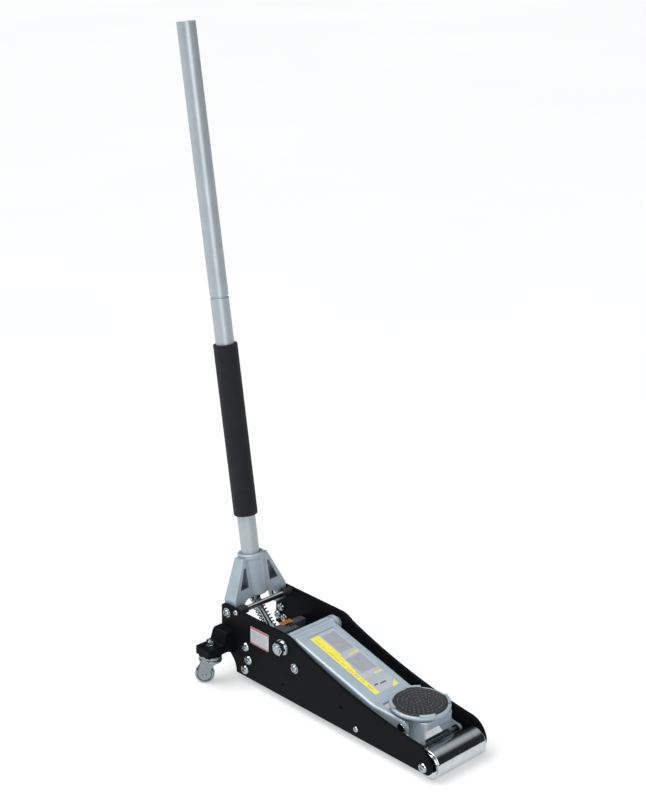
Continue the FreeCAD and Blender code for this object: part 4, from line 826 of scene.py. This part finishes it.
def lay_floor():
    """A pale floor that glows a little, so that shadows stay soft."""
    deselect()
    bpy.ops.mesh.primitive_plane_add(size=FLOOR_SIZE, location=(0, 0, 0))
    floor = settle(bpy.context.object)
    floor.name = "studio_floor"
    f = Finish("studio floor", 0.75)
    f.colour(f.mix(f.span(f.noise(0.8, 2), 0.3, 0.7), (0.50, 0.505, 0.51), (0.52, 0.525, 0.53)))
    f.set("Emission Color", (1, 1, 1, 1)).set("Emission Strength", FLOOR_GLOW)
    floor.data.materials.append(f.material)


def light_sky(scene):
    """A dark horizon under a bright ceiling."""
    world = bpy.data.worlds.new("studio")
    scene.world = world
    world.use_nodes = True
    nodes, links = world.node_tree.nodes, world.node_tree.links
    background = nodes["Background"]
    background.inputs["Color"].default_value = SKY_COLOUR
    split = nodes.new("ShaderNodeSeparateXYZ")
    links.new(nodes.new("ShaderNodeTexCoord").outputs["Generated"], split.inputs["Vector"])
    ceiling = nodes.new("ShaderNodeMapRange")
    ceiling.interpolation_type = "SMOOTHSTEP"
    for key, value in SKY_BAND.items():
        ceiling.inputs[key].default_value = value
    links.new(split.outputs["Z"], ceiling.inputs["Value"])
    links.new(ceiling.outputs["Result"], background.inputs["Strength"])


def hang_lamps(scene):
    """A broad soft sun overhead, a key lamp in front and a weak fill lamp."""
    sun = bpy.data.lights.new("sky panel", "SUN")
    sun.energy = SUN_STRENGTH
    sun.angle = SUN_SPREAD
    sun.color = SUN_COLOUR
    lamp = bpy.data.objects.new("sky panel", sun)
    scene.collection.objects.link(lamp)
    lamp.rotation_euler = SUN_TURN
    for name, place, size, power, colour in LAMPS:
        data = bpy.data.lights.new(name, "AREA")
        data.shape = "SQUARE"
        data.size = size
        data.energy = power
        data.color = colour
        lamp = bpy.data.objects.new(name, data)
        scene.collection.objects.link(lamp)
        lamp.location = place
        lamp.rotation_euler = (LAMP_AIM - Vector(place)).to_track_quat("-Z", "Y").to_euler()


def place_camera(scene):
    """A long lens, aimed by the stage's azimuth, elevation and roll."""
    stage = scene.jack_stage
    az, el, roll = stage.azimuth, stage.elevation, stage.roll
    back = Vector((math.sin(az) * math.cos(el), -math.cos(az) * math.cos(el), math.sin(el)))
    right = Vector((math.cos(az), math.sin(az), 0))
    up = back.cross(right)
    turned_right = right * math.cos(roll) + up * math.sin(roll)
    turned_up = up * math.cos(roll) - right * math.sin(roll)
    rotation = Matrix((turned_right, turned_up, back)).transposed()
    data = bpy.data.cameras.new("camera")
    data.sensor_width = SENSOR_WIDTH
    data.lens = LENS
    data.clip_end = CLIP_END
    camera = bpy.data.objects.new("camera", data)
    scene.collection.objects.link(camera)
    place = Vector(stage.aim) + back * stage.distance
    camera.matrix_world = Matrix.Translation(place) @ rotation.to_4x4()
    scene.camera = camera
    scene.view_settings.view_transform = "Standard"


class JACK_OT_stage(bpy.types.Operator):
    """Floor, soft light and camera"""
    bl_idname = "jack.stage"
    bl_label = "Stage"

    def execute(self, context):
        lay_floor()
        light_sky(context.scene)
        hang_lamps(context.scene)
        place_camera(context.scene)
        return {"FINISHED"}


ORDER = (
    JACK_OT_frame, JACK_OT_linkage, JACK_OT_unit, JACK_OT_handle, JACK_OT_casters,
    JACK_OT_pad, JACK_OT_arm_label, JACK_OT_side_labels, JACK_OT_unit_label, JACK_OT_stage,
)


class JACK_PT_panel(bpy.types.Panel):
    """Everything that dresses the jack"""
    bl_label = "Trolley jack"
    bl_idname = "JACK_PT_panel"
    bl_space_type = "VIEW_3D"
    bl_region_type = "UI"
    bl_category = "Jack"

    def draw(self, context):
        column = self.layout.column()
        for group in (context.scene.jack_paint, context.scene.jack_pad, context.scene.jack_stage):
            for key in group.bl_rna.properties.keys():
                if key not in ("rna_type", "name"):
                    column.prop(group, key)
        for operator in ORDER:
            column.operator(operator.bl_idname)


GROUPS = {"jack_paint": JackPaint, "jack_pad": JackPad, "jack_stage": JackStage}


def register():
    for group in GROUPS.values():
        bpy.utils.register_class(group)
    for item in (*ORDER, JACK_PT_panel):
        bpy.utils.register_class(item)
    for key, group in GROUPS.items():
        setattr(bpy.types.Scene, key, bpy.props.PointerProperty(type=group))


def unregister():
    for key in GROUPS:
        delattr(bpy.types.Scene, key)
    for item in (JACK_PT_panel, *reversed(ORDER), *reversed(GROUPS.values())):
        bpy.utils.unregister_class(item)


def main():
    register()
    for operator in ORDER:
        section, verb = operator.bl_idname.split(".")
        getattr(getattr(bpy.ops, section), verb)()


if __name__ == "__main__":
    main()
